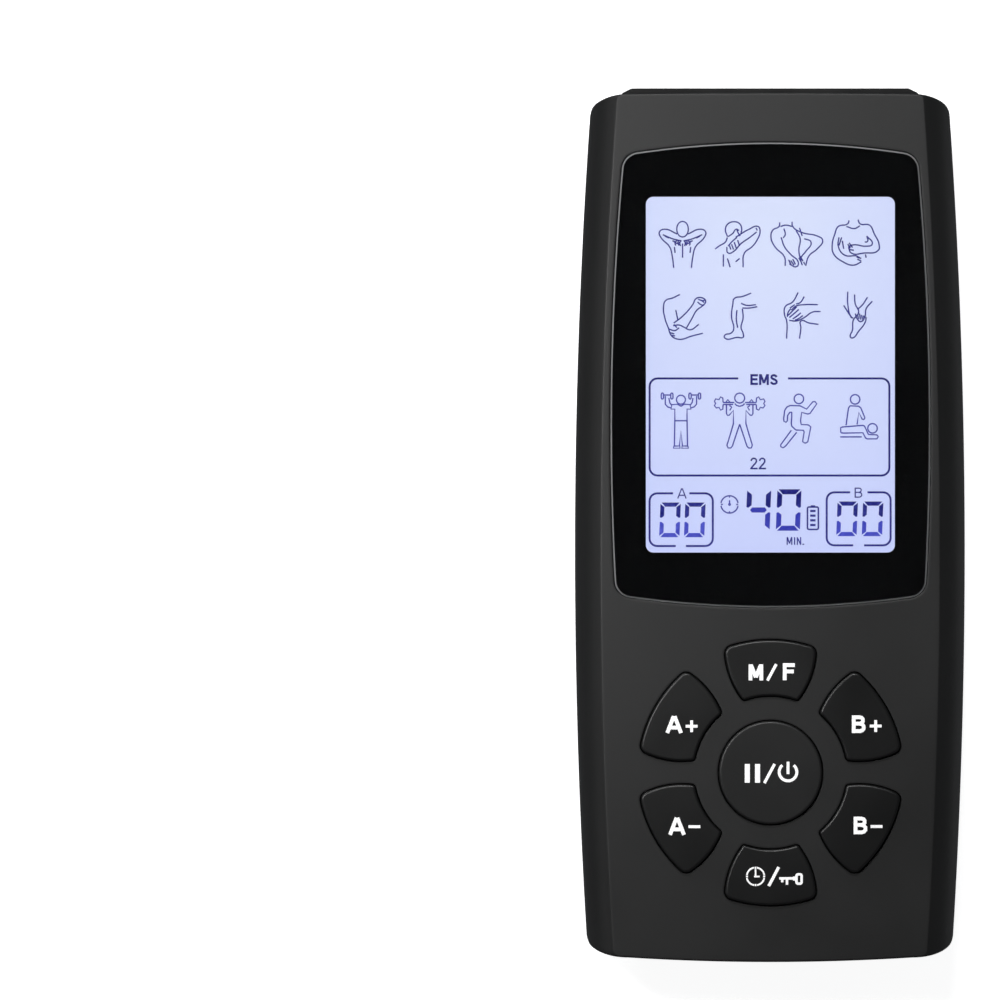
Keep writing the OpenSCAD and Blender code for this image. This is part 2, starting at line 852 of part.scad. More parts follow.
module charge_socket_tongue() {
    color([0.05, 0.05, 0.05])
        block([-2.6, usb_mouth_y + 0.6, board_bottom - 1.1],
              [2.6, usb_mouth_y + usb_length - usb_wall, board_bottom - usb_wall - 0.1]);
}

// ---------------------------------------------------------------- parts on the board

module controller_chip() {
    body = 5;
    chip_y = 26;
    color([0.06, 0.06, 0.07]) {
        block([-body, chip_y - body, board_bottom - 1.6], [body, chip_y + body, board_bottom - 0.2]);
        // its leads, twelve along each edge
        for (turn = [0:90:270], i = [-5.5:1:5.5])
            translate([0, chip_y, 0])
                rotate(turn)
                    block([body - 0.1, i * 0.75 - 0.15, board_bottom - 0.4],
                          [body + 1, i * 0.75 + 0.15, board_bottom]);
    }
}

module output_transformers() {
    transformer_y = 38;
    color([0.25, 0.22, 0.2])
        for (x = [-13, 13])
            translate([x, transformer_y, 0]) {
                block([-5.5, -2.5, board_bottom - 8], [5.5, 2.5, board_bottom - 1.2]);
                block([-3.5, -5, board_bottom - 7], [3.5, 5, board_bottom - 2.2]);
                block([-5, -5.5, board_bottom - 1.2], [5, 5.5, board_bottom]);
            }
}

module boost_coil() {
    color([0.3, 0.3, 0.32])
        translate([0, 38, board_bottom - 4.6]) {
            cylinder(r = 3.7, h = 1);
            cylinder(r = 2.6, h = 4.6);
            translate([0, 0, 3.6]) cylinder(r = 3.7, h = 1);
        }
}

module capacitors() {
    color([0.55, 0.56, 0.6])
        for (place = [[-20, 26], [20, 26], [14, -46], [4, -48]])
            translate(place) {
                translate([0, 0, board_bottom - 6]) cylinder(r = 2.5, h = 5.4);
                block([-2.6, -2.6, board_bottom - 0.6], [2.6, 2.6, board_bottom]);
            }
}

module output_transistors() {
    color([0.07, 0.07, 0.08])
        for (side = [-1, 1], y = [18, 22])
            translate([side * 13, y, 0]) {
                block([-1.8, -1.4, board_bottom - 1.3], [1.8, 1.4, board_bottom - 0.1]);
                block([-2.7, -0.5, board_bottom - 0.3], [2.7, 0.5, board_bottom]);
            }
}

module chip_resistors() {
    color([0.15, 0.15, 0.17])
        for (side = [-1, 1], i = [0:7])
            translate([side * 20, 14 - 3.2 * i, 0])
                block([-1, -0.6, board_bottom - 0.5], [1, 0.6, board_bottom]);
}

module buzzer() {
    color([0.07, 0.07, 0.08])
        translate([-14, -45, board_bottom - 4])
            difference() {
                cylinder(r = 4.7, h = 4);
                translate([0, 0, -1]) cylinder(r = 0.9, h = 2);
            }
}

// ---------------------------------------------------------------- battery

module battery_cell() {
    color([0.78, 0.79, 0.82]) {
        translate([0, cell_y, cell_bottom])
            linear_extrude(cell_thickness) polygon(rounded_box(cell_width, cell_length, 2.5));
        // the guard board under its wrapping
        block([-13, cell_end_y, cell_bottom + 1], [13, cell_y - cell_length / 2 + 1, cell_bottom + 4.2]);
    }
}

module battery_pad() {
    color([0.9, 0.9, 0.85])
        translate([0, cell_y, back_wall])
            linear_extrude(pad_thickness) polygon(rounded_box(cell_width - 6, cell_length - 8, 2));
}

module battery_socket() {
    color([0.93, 0.92, 0.88])
        difference() {
            block([socket_x, socket_y - 3.8, board_bottom - 5.4],
                  [socket_x + 7, socket_y + 3.8, board_bottom]);
            block([socket_x - 1, socket_y - 3.1, plug_z - 1.9], [socket_x + 4.1, socket_y + 3.1, plug_z + 1.9]);
        }
}

module battery_plug() {
    color([0.95, 0.95, 0.92])
        block([plug_x, socket_y - 3, plug_z - 1.8], [socket_x + 4, socket_y + 3, plug_z + 1.8]);
}

// a round lead along a route, as one closed tube
function along(route, i) =
    let (v = route[min(i + 1, len(route) - 1)] - route[max(i - 1, 0)]) v / norm(v);
function lead_ring(route, i) =
    let (
        t = along(route, i),
        across = cross(t, [0, 0, 1]),
        u = across / norm(across),
        v = cross(u, t)
    )
    [for (k = [0:lead_sides - 1])
        let (a = 360 * k / lead_sides) route[i] + lead_radius * (cos(a) * u + sin(a) * v)];

module lead(route) {
    rings = len(route);
    points = [for (i = [0:rings - 1]) each lead_ring(route, i)];
    sides = [
        for (i = [0:rings - 2], k = [0:lead_sides - 1])
            let (next = (k + 1) % lead_sides, low = i * lead_sides, high = low + lead_sides)
                [low + k, high + k, high + next, low + next]
    ];
    first = [for (k = [0:lead_sides - 1]) k];
    last = [for (k = [lead_sides - 1:-1:0]) (rings - 1) * lead_sides + k];
    polyhedron(points, concat([first], sides, [last]));
}

module battery_lead_red() {
    color([0.75, 0.08, 0.06]) lead(red_route);
}

module battery_lead_black() {
    color([0.05, 0.05, 0.05]) lead(black_route);
}

// ---------------------------------------------------------------- assembly

front_case();
rear_case();
jack_panel();
display_lens();
lens_mask();
lens_adhesive();
lcd_front_film();
lcd_front_glass();
lcd_rear_glass();
lcd_rear_film();
backlight_guide();
backlight_reflector();
backlight_leds();
lcd_holder();
lcd_contact_strip();
circuit_board();
key_contacts();
keypad_mat();
jack_a();
jack_b();
jack_springs();
charge_socket_shell();
charge_socket_tongue();
controller_chip();
output_transformers();
boost_coil();
capacitors();
output_transistors();
chip_resistors();
buzzer();
battery_cell();
battery_pad();
battery_socket();
battery_plug();
battery_lead_red();
battery_lead_black();
case_screws();
board_screws();
rating_label();
for (key = KEYS) {
    key_cap(key);
    key_pill(key);
    key_web(key);
}
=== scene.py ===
import math

import bmesh
import bpy
from mathutils import Matrix, Vector


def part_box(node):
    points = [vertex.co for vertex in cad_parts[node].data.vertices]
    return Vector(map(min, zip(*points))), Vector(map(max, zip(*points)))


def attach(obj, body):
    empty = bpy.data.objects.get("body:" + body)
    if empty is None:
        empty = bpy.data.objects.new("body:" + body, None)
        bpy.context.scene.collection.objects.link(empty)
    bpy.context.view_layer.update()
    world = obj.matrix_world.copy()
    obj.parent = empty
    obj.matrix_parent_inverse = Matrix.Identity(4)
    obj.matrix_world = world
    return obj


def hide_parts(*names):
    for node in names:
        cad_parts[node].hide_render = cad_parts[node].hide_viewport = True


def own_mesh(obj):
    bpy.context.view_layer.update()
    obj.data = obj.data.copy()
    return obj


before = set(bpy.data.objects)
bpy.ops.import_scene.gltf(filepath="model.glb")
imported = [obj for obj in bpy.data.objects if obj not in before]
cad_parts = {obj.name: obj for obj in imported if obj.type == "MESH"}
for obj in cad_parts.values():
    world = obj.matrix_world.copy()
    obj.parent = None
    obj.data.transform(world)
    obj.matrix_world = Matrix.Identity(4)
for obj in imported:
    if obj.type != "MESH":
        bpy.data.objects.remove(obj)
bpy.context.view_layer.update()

# ------------------------------------------------------------ camera, floor and lights
# The unit lies on its back on a pale table, seen squarely from above. The strongest soft
# lights hang over its upper end and its left side, so its face is darkest at the lower right.
MM = 0.001
scene = bpy.context.scene


def node(tree, kind, **values):
    """a new shader node, with these values on its inputs"""
    made = tree.nodes.new("ShaderNode" + kind)
    for name, value in values.items():
        made.inputs[name.replace("_", " ")].default_value = value
    return made


def wire(tree, start, output, end, name):
    tree.links.new(start.outputs[output], end.inputs[name])


def ramp(tree, source, output, *stops):
    """a colour ramp over an output of another node, with a place and a colour for each stop"""
    made = node(tree, "ValToRGB")
    wire(tree, source, output, made, "Fac")
    for stop, (position, colour) in zip(made.color_ramp.elements, stops):
        stop.position = position
        stop.color = (*colour, 1)
    return made


def tuned(made, **values):
    """the material, with these values on its shader"""
    for name, value in values.items():
        made.node_tree.nodes["Principled BSDF"].inputs[name.replace("_", " ")].default_value = value
    return made


def new_finish(name):
    made = bpy.data.materials.new(name)
    made.use_nodes = True
    return made


scene.view_settings.view_transform = "Standard"

eye = bpy.data.objects.new("camera", bpy.data.cameras.new("camera"))
scene.collection.objects.link(eye)
eye.location = (-39.75 * MM, 3.67 * MM, 3.0205)
eye.data.lens = 734.8
eye.data.clip_end = 20
scene.camera = eye

surface = bmesh.new()
bmesh.ops.create_grid(surface, x_segments=4, y_segments=4, size=2.5)
bmesh.ops.translate(surface, verts=surface.verts, vec=(0, 0, -0.05 * MM))
floor_mesh = bpy.data.meshes.new("floor")
surface.to_mesh(floor_mesh)
surface.free()
floor = bpy.data.objects.new("floor", floor_mesh)
scene.collection.objects.link(floor)
floor.visible_glossy = False
floor_mesh.materials.append(tuned(new_finish("table_white"), Base_Color=(0.86, 0.86, 0.86, 1), Roughness=0.9,
                                  Specular_IOR_Level=0.1, Emission_Color=(1, 1, 1, 1), Emission_Strength=0.9))

world = bpy.data.worlds.new("studio")
scene.world = world
world.use_nodes = True
room = world.node_tree
height = node(room, "SeparateXYZ")
wire(room, node(room, "TexCoord"), "Generated", height, "Vector")
walls = ramp(room, height, "Z", (0.55, (0.115, 0.12, 0.125)), (0.88, (0.027, 0.028, 0.03)))
wire(room, walls, "Color", room.nodes["Background"], "Color")


def soft_light(name, place, aim, wide, tall, watts):
    lamp = bpy.data.lights.new(name, "AREA")
    lamp.shape = "RECTANGLE"
    lamp.size = wide
    lamp.size_y = tall
    lamp.energy = watts
    holder = bpy.data.objects.new(name, lamp)
    scene.collection.objects.link(holder)
    holder.location = place
    holder.rotation_euler = (Vector(aim) - Vector(place)).to_track_quat("-Z", "Y").to_euler()


soft_light("top_light", (-0.02, 0.22, 0.34), (0, 0.05, 0), 0.12, 0.06, 0.68)
soft_light("main_light", (-0.113, 0.03, 0.25), (-0.02, 0, 0), 0.04, 0.1, 0.24)
soft_light("left_light", (-0.75, 0.0, 0.3), (0, 0, 0), 0.9, 0.1, 0.3)
soft_light("right_light", (0.85, 0.25, 0.45), (0, 0.04, 0), 0.3, 0.3, 0.015)
soft_light("rim_light", (-0.3, 0.42, 0.16), (0, -0.036, 0), 0.25, 0.06, 0.4)
soft_light("floor_glow", (0.06, 0, 0.001), (0.06, 0, 1), 0.03, 0.13, 0.002)


# ------------------------------------------------------------ rear shell
# The lower half of the casing, injection moulded in charcoal ABS with a fine spark-eroded
# skin. Deep sunk holes take the four case screws, and a shallow recess takes the label.
SIDE_RADIUS = 930
WIDEST_AT = -4
HALF_WIDTH = 28.7
LOWER_END = -64.25
JACK_END = 63.55
CORNER = (6.0, 2.9)
END_RADII = {-1: 330.0, 1: 1500.0}
SPLIT = 11.1
DEPTH = 20.5
INNER_FACE = 18.1
SCREWS = [(x, y) for x in (-17.3, 17.3) for y in (-55.75, 57.45)]
BROAD_GRAIN = 14
BACK_RADIUS = 9
LABEL_Y = 12
SOCKET_Z = 11.0


def moulded(name, colour, second, rough, grain=0.25, depth=0.02, stretch=(1, 1, 1), metal=0.0,
            rough_spread=0.08):
    """a solid finish with its own grain: two tones, an uneven gloss and a fine relief"""
    made = tuned(new_finish(name), Metallic=metal)
    tree = made.node_tree
    shader = tree.nodes["Principled BSDF"]
    place = node(tree, "TexCoord")
    turn = node(tree, "Mapping", Scale=stretch)
    wire(tree, place, "Object", turn, "Vector")
    fine = node(tree, "TexNoise", Scale=1 / (grain * MM), Detail=3)
    wire(tree, turn, "Vector", fine, "Vector")
    broad = node(tree, "TexNoise", Scale=1 / (BROAD_GRAIN * MM))
    wire(tree, place, "Object", broad, "Vector")
    both = node(tree, "Math")
    both.operation = "MULTIPLY"
    wire(tree, fine, "Fac", both, 0)
    wire(tree, broad, "Fac", both, 1)
    wire(tree, ramp(tree, both, "Value", (0.1, colour), (0.45, second)), "Color", shader, "Base Color")
    gloss = node(tree, "MapRange", From_Min=0.3, From_Max=0.7, To_Min=rough - rough_spread,
                 To_Max=rough + rough_spread)
    wire(tree, broad, "Fac", gloss, "Value")
    wire(tree, gloss, "Result", shader, "Roughness")
    relief = node(tree, "Bump", Strength=0.35, Distance=depth * MM)
    wire(tree, fine, "Fac", relief, "Height")
    wire(tree, relief, "Normal", shader, "Normal")
    return made


def half_width(y):
    return HALF_WIDTH - SIDE_RADIUS + math.sqrt(SIDE_RADIUS**2 - (y - WIDEST_AT) ** 2)


def casing_line(side_in, end_in, round_by=0.3):
    """one level line round the casing, drawn in from its sides and its ends"""
    right = []
    for end, end_y in ((-1, LOWER_END), (1, JACK_END)):
        near = half_width(end_y - end * CORNER[1]) - CORNER[0]
        bow = END_RADII[end]
        drop = bow - math.sqrt(bow**2 - near**2)

        def end_line(x):
            if x <= near:
                return end_y - end * (bow - math.sqrt(bow**2 - x**2) + end_in)
            share = min(1, (x - near) / CORNER[0])
            return end_y - end * (drop + CORNER[1] * (1 - math.sqrt(1 - share**2)) + end_in)

        corner_x = near + CORNER[0] - side_in - 0.001
        for _ in range(8):
            corner_x = half_width(end_line(corner_x)) - side_in
        corner_y = end_line(corner_x)
        from_x = min(corner_x, near + CORNER[0]) - round_by
        turn = math.acos(max(0, min(1, (from_x - near) / CORNER[0])))
        line = [(near * i / 8, end_line(near * i / 8)) for i in range(9)]
        for i in range(1, 10):
            x = near + CORNER[0] * math.cos(math.pi / 2 + (turn - math.pi / 2) * i / 9)
            line.append((x, end_line(x)))
        a = line[-1]
        c = (half_width(corner_y - end * round_by) - side_in, corner_y - end * round_by)
        for i in range(1, 6):
            t = i / 6
            line.append(tuple((1 - t) ** 2 * a[k] + 2 * t * (1 - t) * (corner_x, corner_y)[k]
                              + t * t * c[k] for k in (0, 1)))
        line.append(c)
        if end == -1:
            right = line
        else:
            start, stop = right[-1][1], line[-1][1]
            for i in range(1, 40):
                y = start + (stop - start) * i / 40
                right.append((half_width(y) - side_in, y))
            right += line[::-1]
    return right + [(-x, y) for x, y in right[-2:0:-1]]


def first_loop(mesh, line, z):
    """a closed loop of edges through the points of a level line"""
    verts = [mesh.verts.new((x * MM, y * MM, z * MM)) for x, y in line]
    for a, b in zip(verts, verts[1:] + verts[:1]):
        mesh.edges.new((a, b))
    return verts


def edges_of(mesh, loop):
    return [mesh.edges.get((a, b)) for a, b in zip(loop, loop[1:] + loop[:1])]


def drawn_on(mesh, loop, line, z):
    """the loop extruded to the next level line"""
    made = bmesh.ops.extrude_edge_only(mesh, edges=edges_of(mesh, loop))["geom"]
    fresh = {v for v in made if isinstance(v, bmesh.types.BMVert)}
    ahead = [next(e.other_vert(v) for e in v.link_edges if e.other_vert(v) in fresh) for v in loop]
    for v, (x, y) in zip(ahead, line):
        v.co = (x * MM, y * MM, z * MM)
    return ahead


def filled(mesh, *loops):
    """a flat face inside the first loop, with the other loops as its holes"""
    edges = [e for loop in loops for e in edges_of(mesh, loop)]
    bmesh.ops.triangle_fill(mesh, use_beauty=True, edges=edges, normal=(0, 0, 1))


def stacked(mesh, levels):
    """a wall drawn up through level lines, and closed at both ends"""
    loop = first_loop(mesh, *levels[0])
    filled(mesh, loop)
    for line, z in levels[1:]:
        loop = drawn_on(mesh, loop, line, z)
    filled(mesh, loop)


def plate(mesh, line, low, high):
    """a flat solid with this outline, between two heights"""
    loop = first_loop(mesh, line, low)
    bmesh.ops.contextual_create(mesh, geom=edges_of(mesh, loop))
    loop = drawn_on(mesh, loop, line, high)
    bmesh.ops.contextual_create(mesh, geom=edges_of(mesh, loop))


def circle(x, y, r, sides=48):
    return [(x + r * math.cos(2 * math.pi * i / sides), y + r * math.sin(2 * math.pi * i / sides))
            for i in range(sides)]


def rounded(x, y, w, h, r, steps=6):
    line = []
    for k, (sx, sy) in enumerate(((1, 1), (-1, 1), (-1, -1), (1, -1))):
        for i in range(steps + 1):
            a = math.pi / 2 * (k + i / steps)
            line.append((x + sx * (w / 2 - r) + r * math.cos(a), y + sy * (h / 2 - r) + r * math.sin(a)))
    return line


def placed(name, mesh, finish, body, nodes=(), sharp=32):
    """the finished piece: smooth but for its real edges, riding on its body"""
    if isinstance(mesh, bmesh.types.BMesh):
        bmesh.ops.recalc_face_normals(mesh, faces=mesh.faces)
        data = bpy.data.meshes.new(name)
        mesh.to_mesh(data)
        mesh.free()
    else:
        data = mesh
    data.shade_smooth()
    data.set_sharp_from_angle(angle=math.radians(sharp))
    data.materials.clear()
    data.materials.append(finish)
    piece = bpy.data.objects.new(name, data)
    scene.collection.objects.link(piece)
    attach(piece, body)
    if nodes:
        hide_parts(*nodes)
    return piece


def cut_away(mesh, *cutters):
    """the mesh less the cutters, as one new mesh"""
    bmesh.ops.recalc_face_normals(mesh, faces=mesh.faces)
    data = bpy.data.meshes.new("cut")
    mesh.to_mesh(data)
    mesh.free()
    body = bpy.data.objects.new("cut", data)
    scene.collection.objects.link(body)
    tools = []
    for cutter in cutters:
        bmesh.ops.recalc_face_normals(cutter, faces=cutter.faces)
        tool_data = bpy.data.meshes.new("cutter")
        cutter.to_mesh(tool_data)
        cutter.free()
        tool = bpy.data.objects.new("cutter", tool_data)
        scene.collection.objects.link(tool)
        tools.append(tool)
        step = body.modifiers.new("cut", "BOOLEAN")
        step.operation = "DIFFERENCE"
        step.solver = "EXACT"
        step.object = tool
    result = bpy.data.meshes.new_from_object(body.evaluated_get(bpy.context.evaluated_depsgraph_get()))
    for gone in tools + [body]:
        bpy.data.objects.remove(gone)
    return result


def block(low, high):
    """a box between two corners, in millimetres"""
    made = bmesh.new()
    bmesh.ops.create_cube(made, size=1)
    size = [(b - a) * MM for a, b in zip(low, high)]
    middle = [(a + b) / 2 * MM for a, b in zip(low, high)]
    bmesh.ops.scale(made, vec=size, verts=made.verts)
    bmesh.ops.translate(made, vec=middle, verts=made.verts)
    return made


def stood_up(mesh, degrees):
    bmesh.ops.transform(mesh, matrix=Matrix.Rotation(math.radians(degrees), 4, "X"), verts=mesh.verts)


def panel_room():
    return block((-21.9, 62.75, 4.3), (21.9, 70, 17.1))


def charge_room():
    """the slot for the charging plug, with round ends"""
    made = bmesh.new()
    stacked(made, [(rounded(0, SOCKET_Z, 8.3, 3.5, 1.2), z) for z in (60, 66)])
    stood_up(made, 90)
    return made


rear = bmesh.new()
floor_loop = loop = first_loop(rear, casing_line(BACK_RADIUS, 4.0, 3), 2)
for i in range(1, 7):
    a = math.pi / 2 * i / 6
    z = BACK_RADIUS - (BACK_RADIUS - 2) * math.cos(a)
    loop = drawn_on(rear, loop, casing_line(BACK_RADIUS - (BACK_RADIUS - 2) * math.sin(a),
                                            4 - math.sqrt(4 - max(0, 4 - z) ** 2), 3 - 2 * i / 6), z)
for d, z in ((2.0, 12.3), (1.1, 12.3), (1.1, SPLIT), (0.15, SPLIT), (0.04, SPLIT - 0.05), (0, SPLIT - 0.2),
             (0, 10)):
    loop = drawn_on(rear, loop, casing_line(d, d, 0.3), z)
for i in range(0, 17):
    a = math.pi / 2 * i / 16
    z = BACK_RADIUS - BACK_RADIUS * math.sin(a)
    side_in = BACK_RADIUS - BACK_RADIUS * math.cos(a)
    end_in = 4 - math.sqrt(16 - max(0, 4 - z) ** 2)
    loop = drawn_on(rear, loop, casing_line(side_in, end_in, 0.3 + 3 * (side_in / BACK_RADIUS) ** 0.6), z)
back_loop = drawn_on(rear, loop, casing_line(9.5, 4.5, 3.3), 0)
floor_holes, back_holes = [], []
for x, y in SCREWS:
    hole = first_loop(rear, circle(x, y, 2.6), 0)
    back_holes.append(hole)
    for r, z in ((2.35, 0), (2.22, 0.05), (2.1, 0.25), (2.1, 5), (1.15, 5), (1.15, SPLIT), (2.35, SPLIT),
                 (2.35, 2)):
        hole = drawn_on(rear, hole, circle(x, y, r), z)
    floor_holes.append(hole)
hole = first_loop(rear, rounded(0, LABEL_Y, 36.9, 24.9, 2.3), 0)
back_holes.append(hole)
for grow, z in ((0.35, 0), (0.3, 0.03), (0.3, 0.15)):
    hole = drawn_on(rear, hole, rounded(0, LABEL_Y, 36 + grow, 24 + grow, 1.85 + grow / 2), z)
filled(rear, hole)
filled(rear, floor_loop, *floor_holes)
filled(rear, back_loop, *back_holes)

back_plastic = moulded("back_plastic", (0.0095, 0.0097, 0.0100), (0.0120, 0.0122, 0.0125), 0.52, 0.22, 0.03)
placed("rear_shell", cut_away(rear, panel_room(), charge_room()), back_plastic, "casing",
       ["rear_case"])


# ------------------------------------------------------------ battery
# A wrapped lithium pouch cell on a strip of foam tape, with red and black leads
# crimped into a small white plug that pushes onto its socket on the board.
def dressed(name, finish):
    """a CAD node that keeps its own shape and takes this finish"""
    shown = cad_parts[name]
    shown.data.materials.clear()
    shown.data.materials.append(finish)


dressed("battery_cell", moulded("cell_foil", (0.45, 0.46, 0.48), (0.62, 0.63, 0.66), 0.34, 1.6, 0.12,
                                (1, 0.4, 1), 0.75))
dressed("battery_pad", moulded("foam_tape", (0.62, 0.60, 0.55), (0.80, 0.78, 0.72), 0.85, 0.5, 0.1))
white_plastic = moulded("white_plastic", (0.74, 0.73, 0.69), (0.82, 0.81, 0.78), 0.42, 0.3, 0.01)
dressed("battery_plug", white_plastic)
dressed("battery_socket", white_plastic)
dressed("battery_lead_red", moulded("red_lead", (0.42, 0.015, 0.012), (0.55, 0.03, 0.02), 0.45, 0.8, 0.02))
dressed("battery_lead_black", moulded("black_lead", (0.012, 0.012, 0.013), (0.025, 0.025, 0.027), 0.45, 0.8,
                                      0.02))


# ------------------------------------------------------------ circuit board
# A 1.6 mm glass-fibre board under green solder resist. The tracks show as faint raised
# lines, and the parts are soldered to its lower side.
def laminate(name):
    """green resist over copper tracks, which run in straight lines both ways"""
    made = moulded(name, (0.006, 0.085, 0.035), (0.012, 0.14, 0.06), 0.3, 0.4, 0.01)
    tree = made.node_tree
    tracks = node(tree, "TexBrick", Scale=420, Mortar_Size=0.035, Color1=(0.006, 0.085, 0.035, 1),
                  Color2=(0.009, 0.11, 0.045, 1), Mortar=(0.03, 0.22, 0.09, 1))
    wire(tree, node(tree, "TexCoord"), "Object", tracks, "Vector")
    wire(tree, tracks, "Color", tree.nodes["Principled BSDF"], "Base Color")
    return made


dressed("circuit_board", laminate("board_laminate"))
dressed("key_contacts", moulded("gilded_copper", (0.75, 0.52, 0.18), (0.9, 0.66, 0.28), 0.28, 0.5, 0.01,
                                metal=1.0))
chip_resin = moulded("chip_resin", (0.012, 0.012, 0.013), (0.03, 0.03, 0.032), 0.55, 0.12, 0.02)
for name in ("controller_chip", "output_transistors", "chip_resistors"):
    dressed(name, chip_resin)
ferrite = moulded("ferrite", (0.045, 0.04, 0.038), (0.09, 0.08, 0.075), 0.6, 0.3, 0.05)
dressed("output_transformers", ferrite)
dressed("boost_coil", ferrite)
dressed("capacitors", moulded("can_aluminium", (0.5, 0.5, 0.52), (0.66, 0.66, 0.69), 0.3, 0.3, 0.01,
                              (1, 1, 0.1), 1.0))
black_plastic = moulded("black_plastic", (0.008, 0.008, 0.009), (0.016, 0.016, 0.018), 0.4, 0.25, 0.02)
dressed("buzzer", black_plastic)
dressed("lcd_contact_strip", moulded("contact_strip", (0.55, 0.16, 0.22), (0.75, 0.3, 0.36), 0.6, 0.4, 0.03,
                                     (6, 1, 1)))


# ------------------------------------------------------------ lead jacks and charging socket
# Two moulded 3.5 mm jacks with gilt springs sit at the jack end of the board. The socket
# at the lower end is a folded and plated steel can with a black tongue.
dressed("jack_a", black_plastic)
dressed("jack_b", black_plastic)
bright_steel = moulded("bright_steel", (0.52, 0.52, 0.54), (0.7, 0.7, 0.72), 0.26, 0.3, 0.01, (1, 0.1, 1), 1.0)
dressed("jack_springs", bright_steel)
dressed("charge_socket_tongue", black_plastic)

can = bmesh.new()
rim = loop = first_loop(can, rounded(0, SOCKET_Z, 7.0, 2.2, 0.7), 63.55)
for grow, z in ((0.04, 63.67), (0.3, 63.67), (0.42, 63.61), (0.6, 63.45), (0.6, 58.05)):
    loop = drawn_on(can, loop, rounded(0, SOCKET_Z, 7.0 + grow, 2.2 + grow, 0.7 + grow / 2), z)
filled(can, loop)
filled(can, drawn_on(can, rim, rounded(0, SOCKET_Z, 7.0, 2.2, 0.7), 58.35))
stood_up(can, 90)
placed("charge_socket_can", can, bright_steel, "casing", ["charge_socket_shell"], 40)


# ------------------------------------------------------------ backlight and display
# White light-emitting chips feed a clear acrylic guide over a white reflector. Two sheets
# of glass with a film on each face carry the picture, in a white moulded holder.
dressed("backlight_reflector", moulded("reflector_film", (0.86, 0.87, 0.88), (0.93, 0.93, 0.94), 0.3, 0.8,
                                       0.01))
dressed("backlight_leds", moulded("led_resin", (0.82, 0.74, 0.3), (0.92, 0.86, 0.45), 0.35, 0.3, 0.01))
dressed("backlight_guide", moulded("light_guide", (0.72, 0.77, 0.84), (0.82, 0.86, 0.92), 0.12, 1.2, 0.01))
dressed("lcd_holder", white_plastic)
display_glass = moulded("display_glass", (0.30, 0.35, 0.36), (0.38, 0.43, 0.44), 0.06, 2.0, 0.005,
                        rough_spread=0.02)
dressed("lcd_front_glass", display_glass)
dressed("lcd_rear_glass", display_glass)
dressed("lcd_rear_film", moulded("display_film", (0.3, 0.31, 0.31), (0.4, 0.41, 0.41), 0.2, 1.0, 0.01,
                                 rough_spread=0.03))


def lit_film(name):
    """the polariser over the backlight: cool lavender, a little brighter towards its lamps"""
    made = moulded(name, (0.02, 0.02, 0.03), (0.03, 0.03, 0.04), 0.35, 1.0, 0.005, rough_spread=0.03)
    tree = made.node_tree
    centre = node(tree, "Mapping", Location=(0.0, -0.75, 0), Scale=(22, 16, 0))
    wire(tree, node(tree, "TexCoord"), "Object", centre, "Vector")
    glow = node(tree, "TexGradient")
    glow.gradient_type = "SPHERICAL"
    wire(tree, centre, "Vector", glow, "Vector")
    light = ramp(tree, glow, "Fac", (0.15, (0.60, 0.66, 1.0)), (0.9, (0.72, 0.78, 1.0)))
    wire(tree, light, "Color", tree.nodes["Principled BSDF"], "Emission Color")
    return tuned(made, Emission_Strength=1.06)


DISPLAY_Y = 22.1
film = bmesh.new()
stacked(film, [(rounded(0, DISPLAY_Y, 40.8 - trim, 56.5 - trim, 0.6), z)
               for trim, z in ((0, 17.8), (0, 17.97), (0.1, 18.0))])
placed("lit_display", film, lit_film("lit_film"), "casing", ["lcd_front_film"], 20)


# ------------------------------------------------------------ the picture on the display
# Segments and line drawings etched into the glass block the backlight where they are
# switched on: navy where the light is strongest, and a lighter indigo low in each digit.
PICTURE_Z = 18.02


def blocked(name, dark, light, low, high):
    """switched-on segments: the colour climbs from light to dark between two heights"""
    made = moulded(name, dark, light, 0.4, 0.5, 0.005, rough_spread=0.03)
    tree = made.node_tree
    parts = node(tree, "SeparateXYZ")
    wire(tree, node(tree, "TexCoord"), "Object", parts, "Vector")
    climb = node(tree, "MapRange", From_Min=low * MM, From_Max=high * MM)
    wire(tree, parts, "Y", climb, "Value")
    tone = ramp(tree, climb, "Result", (0, light), (1, dark))
    wire(tree, tone, "Color", tree.nodes["Principled BSDF"], "Emission Color")
    return tuned(made, Emission_Strength=1.0)


def arc_line(x, y, r, degrees):
    """points round a centre, one at each of these angles"""
    return [(x + r * math.cos(math.radians(a)), y + r * math.sin(math.radians(a))) for a in degrees]


